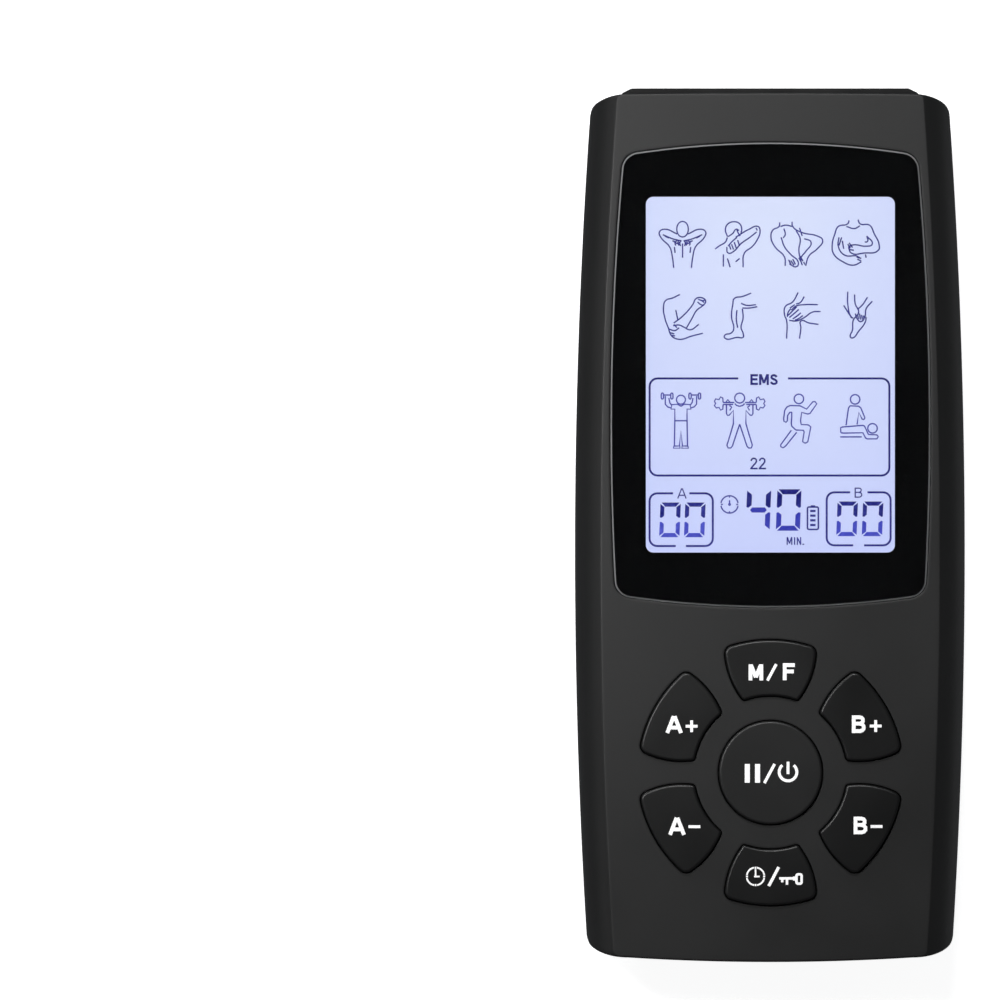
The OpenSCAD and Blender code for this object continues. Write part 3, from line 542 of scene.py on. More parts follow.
class Pen:
    """lines of one width, drawn flat at one height and then made a single thin mesh"""

    def __init__(self, width, z, thick=0.02):
        self.curve = bpy.data.curves.new("lines", "CURVE")
        self.curve.dimensions = "3D"
        self.curve.bevel_depth = width / 2 * MM
        self.curve.bevel_resolution = 1
        self.curve.resolution_u = 5
        self.curve.use_fill_caps = True
        self.z = z
        self.thick = thick
        self.width = width

    def line(self, points, x=0, y=0, unit=1.0, smooth=True, closed=False):
        run = self.curve.splines.new("BEZIER" if smooth else "POLY")
        dots = run.bezier_points if smooth else run.points
        dots.add(len(points) - 1)
        for dot, (px, py) in zip(dots, points):
            spot = ((x + px * unit) * MM, (y + py * unit) * MM, 0)
            if smooth:
                dot.co = spot
                dot.handle_left_type = dot.handle_right_type = "AUTO"
            else:
                dot.co = (*spot, 1)
        run.use_cyclic_u = closed

    def oval(self, x, y, wide, tall, unit=1.0, cx=0, cy=0):
        corners = [(cx + wide, cy), (cx, cy + tall), (cx - wide, cy), (cx, cy - tall)]
        self.line(corners, x, y, unit, True, True)

    def mesh(self):
        drawn = bpy.data.objects.new("lines", self.curve)
        scene.collection.objects.link(drawn)
        data = bpy.data.meshes.new_from_object(
            drawn.evaluated_get(bpy.context.evaluated_depsgraph_get()))
        bpy.data.objects.remove(drawn)
        made = bmesh.new()
        made.from_mesh(data)
        bmesh.ops.scale(made, vec=(1, 1, self.thick / self.width), verts=made.verts)
        bmesh.ops.translate(made, vec=(0, 0, self.z * MM), verts=made.verts)
        return made


def both_sides(points):
    return [points, [(-x, y) for x, y in points]]


BODY_FIGURES = [
    # hands behind the neck
    (-12.9, 41.3, [
        *both_sides([(8, 15), (27, 22), (34, 18), (32, 10), (19, -4), (15, -19), (13, -35)]),
        *both_sides([(29, 14), (15, 8), (3, 5)]), *both_sides([(13, 4), (7, 1), (2, 5)]),
        [(0, 1), (0, -20)], *both_sides([(12, -4), (11, -13)])],
     [(0, 22, 8.5, 11.5)]),
    # their fingers, and the creases under the arms
    (-12.9, 41.3, [
        *both_sides([(2, 6), (4, 2), (3, -3)]), *both_sides([(5, 6), (7, 2), (5, -2)]),
        *both_sides([(8, 6), (11, 1), (10, -2)]), *both_sides([(20, 9), (26, 12)]),
        *both_sides([(9, 3), (15, 5)])], []),
    # a hand on the side of the neck
    (-4.8, 41.3, [
        [(-15, 11), (-18, 22), (-14, 30), (-5, 33), (3, 30), (6, 22), (5, 16)],
        [(-14, 11), (-7, 16), (-2, 22), (2, 20)], [(-15, 10), (-18, 3), (-26, -2), (-33, -7)],
        [(-3, 10), (17, 22), (30, 26), (33, 20), (28, 5), (21, -4), (10, -13), (8, -34)],
        [(-14, -3), (-8, 4), (-1, 10)],
        [(-16, -4), (-14, -13), (-5, -10), (4, 0), (18, 10), (28, 18)],
        [(-21, -15), (-21, -33)], [(-15, -21), (-11, -34)], [(3, -21), (-3, -26)],
        [(-12, -2), (-10, -8)], [(-9, 0), (-6, -8)], [(-5, 3), (-2, -6)], [(0, 6), (3, -3)],
        [(4, 12), (1, 16), (-1, 21)], [(27, 24), (29, 20)]], []),
    # hands on the lower back
    (3.9, 41.3, [
        [(-25, 32), (-26, 26), (-35, 21), (-38, 10), (-32, -4), (-18, -19), (-17, -32)],
        [(-7, 33), (-6, 26), (8, 17), (30, 12), (38, 6), (30, -7), (18, -17), (13, -32)],
        [(-23, 10), (-18, -4), (-8, -16), (2, -26), (0, -33), (-11, -29)],
        [(11, 8), (21, 3), (13, -11), (6, -21), (8, -31)], [(-1, 20), (5, 8), (3, -9), (5, -21)],
        [(-24, 26), (-16, 28), (-7, 26)], [(10, -26), (12, -30)], [(-19, 23), (-17, 14), (-20, 9)],
        [(-9, -24), (-4, -31)], [(-6, -22), (-2, -30)], [(-12, -23), (-8, -31)], [(3, -20), (7, -27)],
        [(5, -18), (9, -25)], [(4, 24), (8, 12)]], []),
    # arms folded over the belly
    (12.6, 41.3, [
        [(-10, 35), (-12, 30), (-26, 26), (-31, 15), (-35, -2), (-33, -14), (-19, -26), (-4, -31),
         (8, -26)],
        [(3, 36), (6, 30), (20, 28), (27, 15), (34, 0), (33, -9), (12, -13), (-7, -13), (-11, -4)],
        [(-25, 10), (-26, -3), (-17, -16), (0, -17)],
        [(16, 12), (24, 0), (15, -3), (-4, -1), (-11, -4)], [(-14, 26), (-2, 23), (6, 27)],
        [(-20, 5), (-18, -7)], [(14, -15), (15, -20)], [(0, -17), (6, -20)],
        [(-12, 0), (-8, -6)], [(-10, 2), (-5, -5)], [(-9, -8), (-3, -9)], [(2, -22), (8, -25)],
        [(1, -19), (8, -21)], [(16, 12), (17, 4), (13, 3)], [(-21, 10), (-25, -2)]], []),
    # elbow
    (-12.8, 30.6, [
        [(-5, 33), (-15, 28), (-26, 24), (-29, 15), (-27, -2), (-22, -16), (-17, -28), (-6, -33),
         (13, -28), (29, -24)],
        [(-14, -9), (-2, 0), (14, 18), (19, 27), (28, 28), (33, 23), (28, 16), (20, 10), (13, -2),
         (5, -16)],
        [(-15, -13), (-6, -12), (1, -15), (10, -19), (23, -11)],
        [(-21, -18), (-12, -20), (-6, -16)], [(-11, 10), (-8, -4)], [(26, 25), (31, 21)],
        [(21, 22), (26, 18), (31, 17)], [(22, 26), (28, 24), (33, 25)], [(-20, -23), (-13, -25)],
        [(-18, -27), (-12, -28)], [(-14, -11), (-9, -16)]], []),
    # lower leg
    (-4.3, 30.6, [
        [(15, 35), (2, 30), (-10, 27), (-12, 19), (-14, 0), (-11, -19), (-15, -24), (-24, -27),
         (-24, -31), (-5, -30), (3, -30), (3, -24), (0, -16), (3, -2), (2, 12)],
        [(24, 15), (12, 13), (2, 13)], [(22, 18), (8, 17), (0, 20)], [(-6, 10), (-7, -3), (-5, -16)]],
     []),
    # knee
    (4.8, 30.6, [
        [(-7, 36), (-15, 22), (-26, 15), (-27, 3), (-24, -5), (-24, -32)],
        [(2, 30), (-4, 21), (-10, 19)], [(22, 18), (2, 18), (-10, 16), (-17, 10)],
        [(26, 8), (14, 7), (2, -1), (-10, -6), (-20, -5)],
        [(23, -11), (9, -9), (-3, -6), (-3, -16), (-5, -32)],
        [(-6, 11), (-14, 4), (-20, -1)], [(-3, 6), (-9, 1), (-15, -3)], [(-9, 15), (-17, 7), (-22, 2)],
        [(0, 2), (-7, -3), (-12, -5)], [(-18, 12), (-22, 6), (-23, 0)], [(-12, 18), (-19, 13)]], []),
    # ankle
    (13.0, 30.6, [
        [(-16, 37), (-16, 19), (-11, 0), (-8, -2)],
        [(-6, 33), (-5, 19), (0, 7), (-8, -5), (-9, -19), (-12, -30), (-9, -31), (0, -21), (10, -7),
         (11, 0)],
        [(13, 29), (5, 17), (-2, 11)], [(20, 23), (11, 12), (9, 0), (3, -7), (-3, -2)],
        [(-22, 17), (-17, 9), (-10, -2)], [(4, 3), (6, -4)], [(-2, 4), (0, -3)], [(1, 5), (3, -4)],
        [(-5, 5), (-3, -2)], [(7, 2), (8, -3)]], []),
]
EXERCISE_FIGURES = [
    # weights held overhead
    (-13.14, 15.26, [
        *both_sides([(23, 37), (23, 25), (19.5, 21), (14.6, 19.5)]),
        *both_sides([(17.8, 34), (16.3, 27), (13.9, 24)]), *both_sides([(25.6, 38.5), (15, 38.5)]),
        *both_sides([(0, 21.9), (4.9, 25), (13.4, 24.3), (14.6, 17.8), (9, 17.8), (9, 0.7), (9.7, -36.5)]),
        [(-9, 0.7), (9, 0.7)], [(-2.2, -36.5), (0, -13.4), (2.2, -36.5)],
        *both_sides([(10.2, -36.5), (11, -39.7), (1.2, -39.7), (1.7, -36.5), (10.2, -36.5)])],
     [(0, 31.6, 6.6, 6.6), (-27.3, 37, 1.7, 4.4), (-13.4, 37, 1.7, 4.4), (13.4, 37, 1.7, 4.4), (27.3, 37, 1.7, 4.4)]),
    # barbell on the shoulders
    (-4.5, 15.26, [
        *both_sides([(24.3, 27.5), (7.8, 27.5)]), *both_sides([(24.3, 24.6), (9.7, 24.6)]),
        [(-7.3, 26), (-4.4, 23.1), (0, 21.9), (4.4, 23.1), (7.3, 26)],
        *both_sides([(24.3, 27.5), (24.8, 34), (28, 35.8), (30.4, 31.6), (35.3, 32.8), (37.2, 29.2),
         (35.3, 26), (37.2, 23.1), (34.5, 19.5), (30.4, 20.2), (28, 16.3), (24.8, 17.8),
         (24.3, 24.6)]),
        *both_sides([(20.4, 27.5), (17.5, 31.8), (14.1, 27.5)]),
        *both_sides([(19.5, 23.6), (19.5, 11.4), (17.8, 8.5), (15.3, 9), (9.2, 15.8), (9.2, -3.6),
         (13.4, -18.2), (18.7, -35.3), (17, -39.4), (13.1, -39.4), (10.7, -36.5), (0, -4.4)]),
        *both_sides([(15.1, 23.1), (11.7, 20.7), (14.6, 15.8)])],
     [(0, 34, 7.3, 7.3)]),
    # running
    (4.21, 15.26, [
        [(-10.5, 13.4), (-13.4, 12.9), (-16.5, 8.5), (-17, 0.7), (-19, -1.7), (-21.9, 0), (-22.4, 3.6),
         (-20.9, 15.8), (-17.8, 20.7), (-12.9, 23.1), (1.7, 22.6), (11.4, 17.8), (20.4, 28.5),
         (23.6, 29), (26.3, 25.5), (16.3, 11.4), (13.1, 10.5), (4.1, 12.9), (2.4, 1.2), (3.4, -4.9),
         (13.9, -5.4), (17.5, -8.5), (13.1, -30.4), (9, -32.4), (5.4, -29.9), (7.8, -15.8),
         (6.6, -13.4), (-4.4, -12.9), (-10.5, -7.3), (-11.2, -2.4), (-10.5, 6), (-10.5, 13.4)],
        [(-11.2, -13.4), (-26.8, -34.8), (-26.8, -37.2), (-23.4, -39.2), (-19.5, -36.5), (-3.2, -16.3)]],
     [(0, 32.8, 7, 7)]),
    # massage
    (12.53, 15.26, [
        [(-13.9, -6.1), (-10.2, 19.5), (-7.8, 22.6), (4.4, 22.1), (7.8, 19.7), (13.9, 4.9), (12.2, 2.4),
         (9.7, 3.2), (4.9, 12.9), (2.4, -4.9)],
        [(-21.4, -17), (-21.9, -9.7), (-19, -8.5), (10.9, -6.1), (13.4, -7.3), (19, -19.5),
         (31.6, -20.2), (33.6, -22.6), (31.6, -26), (17, -26), (14.6, -24.3), (10.9, -17),
         (-18.2, -17.5), (-21.4, -17)],
        [(-22.4, -23.1), (9.2, -23.1)]],
     [(-0.5, 32.1, 7, 7), (25.1, -10.5, 7, 7)]),
]
drawing = Pen(0.2, PICTURE_Z)
for figures, smooth in ((BODY_FIGURES, True), (EXERCISE_FIGURES, False)):
    for x, y, lines, ovals in figures:
        for points in lines:
            drawing.line(points, x, y, 0.1, smooth)
        for cx, cy, wide, tall in ovals:
            drawing.oval(x, y, wide, tall, 0.1, cx, cy)
CLOCK = (-5.99, 3.02)
CLOCK_RADIUS = 1.27
for start in (9, 189):
    drawing.line(arc_line(*CLOCK, CLOCK_RADIUS, range(start, start + 163, 9)), smooth=False)
for x, y in ((1, 0), (0, 1), (-1, 0), (0, -1)):
    drawing.line([(0.98 * x, 0.98 * y), (CLOCK_RADIUS * x, CLOCK_RADIUS * y)], *CLOCK, smooth=False)
drawing.oval(*CLOCK, 0.12, 0.12)
drawing.line([(0, 0.2), (0, 0.62)], *CLOCK)
placed("display_drawings", drawing.mesh(),
       blocked("drawn_lines", (0.006, 0.006, 0.13), (0.03, 0.03, 0.26), 20, 26), "casing", sharp=60)


def framed(pen, left, right, low, high, r, top_gap, low_gap=None):
    """a rounded frame, open at the top for its caption"""
    corner = [(math.cos(math.pi / 2 * i / 5), math.sin(math.pi / 2 * i / 5)) for i in range(6)]
    upper_right = [(right - r + r * c, high - r + r * s) for c, s in corner]
    upper_left = [(left + r - r * c, high - r + r * s) for c, s in corner]
    lower_left = [(left + r - r * c, low + r - r * s) for c, s in corner]
    lower_right = [(right - r + r * c, low + r - r * s) for c, s in corner]
    run = [(top_gap[1], high)] + upper_right[::-1] + lower_right
    if low_gap is None:
        pen.line(run + lower_left[::-1] + upper_left + [(top_gap[0], high)], smooth=False)
    else:
        pen.line(run + [(low_gap[1], low)], smooth=False)
        pen.line([(low_gap[0], low)] + lower_left[::-1] + upper_left + [(top_gap[0], high)], smooth=False)


frames = Pen(0.3, PICTURE_Z)
framed(frames, -17.74, 17.52, 7.27, 21.55, 1.15, (-4.7, 2.6))
framed(frames, -17.75, -8.45, -3.1, 4.65, 1.1, (-14.3, -11.9), (-13.9, -12.4))
framed(frames, 8.3, 17.7, -3.0, 4.8, 1.1, (11.75, 14.3), (12.2, 13.8))


STROKES = {
    "A": (0.92, [[(-0.04, -0.12), (0.43, 1.1)], [(0.49, 1.1), (0.96, -0.12)], [(0.14, 0.27), (0.78, 0.27)]]),
    "B": (0.72, [[(0, 0), (0, 1)],
                 [(0, 1), (0.42, 1), (0.58, 0.96), (0.66, 0.86), (0.66, 0.7), (0.58, 0.59), (0.42, 0.54),
                  (0, 0.54)],
                 [(0.42, 0.54), (0.62, 0.48), (0.72, 0.36), (0.72, 0.18), (0.62, 0.05), (0.46, 0), (0, 0)]]),
    "E": (0.62, [[(0, 0), (0, 1)], [(0, 1), (0.62, 1)], [(0, 0.53), (0.56, 0.53)], [(0, 0), (0.62, 0)]]),
    "F": (0.6, [[(0, 0), (0, 1)], [(0, 1), (0.62, 1)], [(0, 0.52), (0.54, 0.52)]]),
    "I": (0, [[(0, 0), (0, 1)]]),
    "M": (0.88, [[(0, 0), (0, 1)], [(0.04, 1.1), (0.44, 0.1)], [(0.44, 0.1), (0.84, 1.1)], [(0.88, 1), (0.88, 0)]]),
    "N": (0.62, [[(0, 0), (0, 1)], [(0, 1), (0.62, 0)], [(0.62, 0), (0.62, 1)]]),
    "S": (0.66, [[(0.62, 0.78), (0.56, 0.92), (0.4, 1), (0.24, 1), (0.08, 0.92), (0.04, 0.76), (0.14, 0.62),
                  (0.34, 0.53), (0.54, 0.44), (0.65, 0.3), (0.62, 0.11), (0.46, 0.01), (0.26, 0), (0.07, 0.08),
                  (0, 0.24)]]),
    "2": (0.6, [[(0.02, 0.74), (0.08, 0.91), (0.24, 1), (0.42, 0.98), (0.56, 0.87), (0.57, 0.68), (0.46, 0.5),
                 (0.2, 0.24), (0, 0)], [(0, 0), (0.62, 0)]]),
    ".": (0, [[(-0.05, 0), (0.05, 0)]]),
}


def lettered(pen, word, x, y, tall, space=0.3, narrow=1):
    """plain block capitals centred at x, y, with square ends on their upright and level strokes"""
    size = tall - pen.width
    gap = space * tall + pen.width
    start = x - (sum(STROKES[c][0] * narrow * size for c in word) + (len(word) - 1) * gap) / 2
    for c in word:
        for points in STROKES[c][1]:
            points = [(px * narrow, py) for px, py in points]
            (ax, ay), (bx, by) = points[0], points[-1]
            reach = pen.width / 2 / size
            if len(points) == 2 and ax == bx:
                points = [(ax, min(ay, by) - reach), (ax, max(ay, by) + reach)]
            elif len(points) == 2 and ay == by:
                points = [(min(ax, bx) - reach, ay), (max(ax, bx) + reach, ay)]
            pen.line(points, start, y - size / 2, size, smooth=False)
        start += STROKES[c][0] * narrow * size + gap


def joined(into, *others):
    """several meshes as one"""
    for other in others:
        data = bpy.data.meshes.new("part")
        bmesh.ops.recalc_face_normals(other, faces=other.faces)
        other.to_mesh(data)
        other.free()
        into.from_mesh(data)
        bpy.data.meshes.remove(data)
    return into


bold_pen = Pen(0.33, PICTURE_Z)
lettered(bold_pen, "EMS", -0.9, 21.38, 1.6, 0.1)
for i in range(4):
    bold_pen.line([(5.87, 2.06 - 0.69 * i), (6.66, 2.06 - 0.69 * i)], smooth=False)
fine_pen = Pen(0.24, PICTURE_Z)
lettered(fine_pen, "22", -1.8, 9.05, 1.74, 0.1, 0.92)
fine_pen.line(rounded(6.27, 0.99, 1.6, 3.3, 0.2, 2), smooth=False, closed=True)
fine_pen.line([(5.95, 2.77), (6.6, 2.77)], smooth=False)
thin_pen = Pen(0.18, PICTURE_Z)
lettered(thin_pen, "MIN.", 3.68, -2.36, 1.14, 0.2, 0.8)
lettered(thin_pen, "A", -12.99, 4.65, 1.41)
lettered(thin_pen, "B", 12.97, 4.75, 1.5)
placed("display_frames", joined(frames.mesh(), bold_pen.mesh(), fine_pen.mesh(), thin_pen.mesh()),
       blocked("frame_lines", (0.005, 0.005, 0.11), (0.014, 0.014, 0.18), -3, 20), "casing", sharp=60)


def digit(made, x, y, wide, tall, thick, lit, z=PICTURE_Z, lean=0.04):
    """one seven-segment digit with mitred bars: lit names the bars that are on"""
    half = tall / 2
    t = thick
    gap = 0.09
    upright = [(0, gap + t * 0.42), (t * 0.35, gap + t * 0.3), (t, gap + t * 0.8), (t, half - t - gap * 0.6),
               (0, half - gap - 0.1)]
    flat = [(gap + 0.08, half), (wide - gap - 0.08, half), (wide - t - gap, half - t), (t + gap, half - t)]
    bars = {
        "upper_left": upright,
        "upper_right": [(wide - px, py) for px, py in upright],
        "lower_left": [(px, -py) for px, py in upright],
        "lower_right": [(wide - px, -py) for px, py in upright],
        "top": flat,
        "bottom": [(px, -py) for px, py in flat],
        "middle": [(t * 0.6 + gap, 0), (t + gap, t / 2), (wide - t - gap, t / 2), (wide - t * 0.6 - gap, 0),
                   (wide - t - gap, -t / 2), (t + gap, -t / 2)],
    }
    for name in lit:
        plate(made, [(x + px + lean * (py - half), y + py) for px, py in bars[name]], z, z + 0.02)


NOUGHT = ("upper_left", "upper_right", "lower_left", "lower_right", "top", "bottom")
FOUR = ("upper_left", "upper_right", "lower_right", "middle")
digits, minutes = bmesh.new(), bmesh.new()
for x, y in ((-16.15, 0.75), (-12.5, 0.75), (9.9, 0.9), (13.65, 0.9)):
    digit(digits, x, y, 3.0, 5.1, 0.62, NOUGHT)
digit(minutes, -3.4, 2.2, 3.55, 6.1, 0.75, FOUR)
digit(minutes, 1.05, 2.2, 3.55, 6.1, 0.75, NOUGHT)
placed("display_digits", digits, blocked("digit_bars", (0.003, 0.004, 0.12), (0.045, 0.055, 0.43), 0.3, 1.3),
       "casing", sharp=60)
placed("display_minutes", minutes, blocked("minute_bars", (0.002, 0.003, 0.11), (0.028, 0.034, 0.36), 2.5, 2.8),
       "casing", sharp=60)


# ------------------------------------------------------------ keypad mat and webs
# One sheet of silicone rubber lies on the board. A thin web round each key carries it
# and buckles when it is pressed, so that the black carbon pill meets its gilt track.
KEYS = [("power", None), ("mode", 0), ("b_up", 60), ("b_down", 120), ("timer_lock", 180), ("a_down", 240),
        ("a_up", 300)]
RING_Y = -36.4
RING_RADIUS = 15.4
mat_rubber = moulded("mat_rubber", (0.02, 0.02, 0.021), (0.035, 0.035, 0.037), 0.7, 0.3, 0.03)
carbon_rubber = moulded("carbon_rubber", (0.006, 0.006, 0.006), (0.014, 0.014, 0.014), 0.8, 0.15, 0.03)
dressed("keypad_mat", mat_rubber)
for key, _ in KEYS:
    dressed("key_pill_" + key, carbon_rubber)
    wall = bmesh.new()
    wall.from_mesh(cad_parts["key_web_" + key].data)
    bmesh.ops.remove_doubles(wall, verts=wall.verts, dist=0.001 * MM)
    web = placed("web_" + key, wall, mat_rubber, "casing", ["key_web_" + key])
    low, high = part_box("key_web_" + key)
    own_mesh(web)


# ------------------------------------------------------------ front shell
# The upper half of the casing, in the same charcoal ABS. A soft bevel runs down each long
# side into the square ends; a pocket takes the lens, and seven openings take the keys.
LENS_UPPER, LENS_LOWER = 56.2, -12.1
LENS_GAP = 0.12
LENS_SEAT = 19.05
KEY_GAP = 0.13


def towards(degrees):
    return math.sin(math.radians(degrees)), math.cos(math.radians(degrees))


def meeting(a, p, b, q, turn):
    """the point at distance p from a and q from b, on the side that turn picks"""
    gap = math.dist(a, b)
    along = (p * p - q * q + gap * gap) / (2 * gap)
    across = turn * math.sqrt(p * p - along * along)
    u = ((b[0] - a[0]) / gap, (b[1] - a[1]) / gap)
    return (a[0] + along * u[0] - across * u[1], a[1] + along * u[1] + across * u[0])


def bearing(a, b):
    return math.atan2(b[1] - a[1], b[0] - a[0])


def bend(centre, radius, start, stop, steps):
    """points along an arc"""
    return [(centre[0] + radius * math.cos(start + (stop - start) * i / steps),
             centre[1] + radius * math.sin(start + (stop - start) * i / steps))
            for i in range(steps + 1)]


def key_line(angle, grow):
    """outline of a key in its place, drawn outwards by grow; the middle key has no angle"""
    if angle is None:
        return circle(0, RING_Y, 7.6 + grow, 72)
    half, outer, inner, bow, middle = 21.2, 19.5, 11.3, 12.5, (0, 0)
    near, far = max(0.5, 0.08 - grow), max(1.2, 0.08 - grow)
    outer_at = [(outer - far) * k for k in towards(half - math.degrees(math.asin(far / (outer - far))))]
    inner_at = [(inner + near) * k for k in towards(half - math.degrees(math.asin(near / (inner + near))))]
    side = meeting(outer_at, bow - far, inner_at, bow - near, -1)
    right = (bend(middle, outer + grow, math.pi / 2, bearing(middle, outer_at), 10)
             + bend(outer_at, far + grow, bearing(middle, outer_at), bearing(side, outer_at), 7)[1:]
             + bend(side, bow + grow, bearing(side, outer_at), bearing(side, inner_at), 8)[1:]
             + bend(inner_at, near + grow, bearing(side, inner_at), bearing(inner_at, middle), 6)[1:]
             + bend(middle, inner - grow, bearing(middle, inner_at), math.pi / 2, 6)[1:])
    line = right + [(-x, y) for x, y in right[-2:0:-1]]
    s, c = towards(angle)
    return [(x * c + y * s, RING_Y - x * s + y * c) for x, y in line]


def lens_line(d):
    """outline of the lens, drawn in by d"""
    side_r, upper_r, lower_r, corner = 430, 133, 150, 2.6
    side = (23.5 - side_r, (LENS_UPPER + LENS_LOWER) * 0.33)
    upper = (0, LENS_UPPER - upper_r)
    lower = (0, LENS_LOWER + lower_r)

    low = meeting(side, side_r - corner, lower, lower_r - corner, -1)
    high = meeting(side, side_r - corner, upper, upper_r - corner, 1)
    right = (bend(lower, lower_r - d, -math.pi / 2, bearing(lower, low), 14)
             + bend(low, corner - d, bearing(lower, low), bearing(side, low), 8)[1:-1]
             + bend(side, side_r - d, bearing(side, low), bearing(side, high), 24)
             + bend(high, corner - d, bearing(side, high), bearing(upper, high), 8)[1:-1]
             + bend(upper, upper_r - d, bearing(upper, high), math.pi / 2, 14))
    return right + [(-x, y) for x, y in right[-2:0:-1]]


front = bmesh.new()
inner_loop = loop = first_loop(front, casing_line(3.4, 2.0, 1), INNER_FACE)
for side_in, end_in, z in ((2.4, 2.0, 16.3), (2.0, 2.0, 14.5), (2.0, 2.0, 12.5), (1.0, 1.0, 12.5),
                           (1.0, 1.0, SPLIT), (0.15, 0.15, SPLIT), (0.04, 0.04, SPLIT + 0.05),
                           (0, 0, SPLIT + 0.2), (0, 0, 12.5), (0, 0, 14.5)):
    loop = drawn_on(front, loop, casing_line(side_in, end_in), z)
BEVEL = (3.8, 6.0)
bevel_r = (BEVEL[0] ** 2 + BEVEL[1] ** 2) / (2 * BEVEL[0])
crease = math.asin(BEVEL[1] / bevel_r)
EDGE = 0.25


def end_rounding(z):
    climb = max(0, z - (DEPTH - EDGE))
    return EDGE - math.sqrt(max(0, EDGE**2 - climb**2))


levels = []
for i in range(1, 16):
    a = crease * 0.985 * i / 15
    levels.append((bevel_r - bevel_r * math.cos(a), DEPTH - BEVEL[1] + bevel_r * math.sin(a)))
start, top = levels[-1], (BEVEL[0] + 0.12, DEPTH)
for t in (0.25, 0.5, 0.75, 1.0):
    levels.append(tuple((1 - t) ** 2 * start[k] + 2 * t * (1 - t) * (BEVEL[0], DEPTH)[k] + t * t * top[k]
                        for k in (0, 1)))
for side_in, z in levels:
    loop = drawn_on(front, loop, casing_line(side_in, end_rounding(z), 0.3 + 0.12 * side_in), z)
face_loop = drawn_on(front, loop, casing_line(BEVEL[0] + 0.55, EDGE + 0.3, 1.0), DEPTH)

ROUNDING = ((0.11, 0.0), (0.07, 0.008), (0.032, 0.028), (0.008, 0.062), (0.0, 0.11))
face_holes, inner_holes = [], []
for key, angle in KEYS:
    hole = first_loop(front, key_line(angle, KEY_GAP + 0.35), DEPTH)
    face_holes.append(hole)
    for grow, drop in ROUNDING:
        hole = drawn_on(front, hole, key_line(angle, KEY_GAP + grow), DEPTH - drop)
    inner_holes.append(drawn_on(front, hole, key_line(angle, KEY_GAP), INNER_FACE))
hole = first_loop(front, lens_line(-LENS_GAP - 0.4), DEPTH)
face_holes.append(hole)
for grow, drop in ROUNDING:
    hole = drawn_on(front, hole, lens_line(-LENS_GAP - grow), DEPTH - drop)
pocket = drawn_on(front, hole, lens_line(-LENS_GAP), LENS_SEAT)
window_line = rounded(0, DISPLAY_Y, 40.0, 55.7, 1.2)
window = first_loop(front, window_line, LENS_SEAT)
filled(front, pocket, window)
inner_holes.append(drawn_on(front, window, window_line, INNER_FACE))
BOARD_SCREWS = [(-22.2, -15.75), (22.2, -15.75), (-22.2, -48.25), (22.2, -48.25), (0, 56.65)]
for (x, y), r, low, shaft in ([(p, 2.8, SPLIT, 16.2) for p in SCREWS]
                              + [(p, 2.1, 14.0, 17.4) for p in BOARD_SCREWS]):
    boss = first_loop(front, circle(x, y, r, 32), INNER_FACE)
    inner_holes.append(boss)
    for grown, z in ((r, low), (1.05, low), (1.05, shaft)):
        boss = drawn_on(front, boss, circle(x, y, grown, 32), z)
    filled(front, boss)
filled(front, face_loop, *face_holes)
filled(front, inner_loop, *inner_holes)

case_plastic = moulded("case_plastic", (0.0070, 0.0071, 0.0072), (0.0084, 0.0085, 0.0086), 0.46, 0.22, 0.03,
                       rough_spread=0.03)
placed("front_shell", cut_away(front, panel_room(), charge_room()), case_plastic, "casing",
       ["front_case"])


# ------------------------------------------------------------ lens
# Clear acrylic with a polished edge, let in flush with the face; the slope of that edge is
# painted light grey, a painted highlight all round. Its back is printed black all round the
# display, and a frame of double-sided tape holds it in its pocket.
def clear_acrylic(name):
    made = tuned(new_finish(name), Roughness=0.0, Transmission_Weight=1.0, IOR=1.49)
    tree = made.node_tree
    tint = node(tree, "TexNoise", Scale=40)
    wire(tree, node(tree, "TexCoord"), "Object", tint, "Vector")
    tones = ramp(tree, tint, "Fac", (0, (0.92, 0.93, 0.95)), (1, (0.95, 0.96, 0.97)))
    wire(tree, tones, "Color", tree.nodes["Principled BSDF"], "Base Color")
    return made


lens = bmesh.new()
stacked(lens, [(lens_line(d), z) for d, z in ((0.4, 19.31), (0.1, 19.31), (0.0, 19.4), (0.0, 20.3), (0.2, DEPTH),
                                              (0.5, DEPTH))])
window_pane = placed("lens", lens, clear_acrylic("lens_clear"), "casing", ["display_lens"], 20)
# The sloped faces of the lens's upper edge take a light grey colour: a painted highlight, a light line all round the
# lens.
window_pane.data.materials.append(moulded("edge_painted_highlight", (0.26, 0.265, 0.27), (0.32, 0.325, 0.33), 0.5, 0.2, 0.01))
for face in window_pane.data.polygons:
    if 0.5 < face.normal.z < 0.9 and face.center.z > 20.2 * MM:
        face.material_index = 1
mask_ink = moulded("lens_ink", (0.0010, 0.0012, 0.0011), (0.0016, 0.0018, 0.0017), 0.7, 0.4, 0.005)
dressed("lens_mask", tuned(mask_ink, Specular_IOR_Level=0.05))
dressed("lens_adhesive", moulded("adhesive_film", (0.6, 0.6, 0.56), (0.72, 0.72, 0.68), 0.6, 0.6, 0.01))
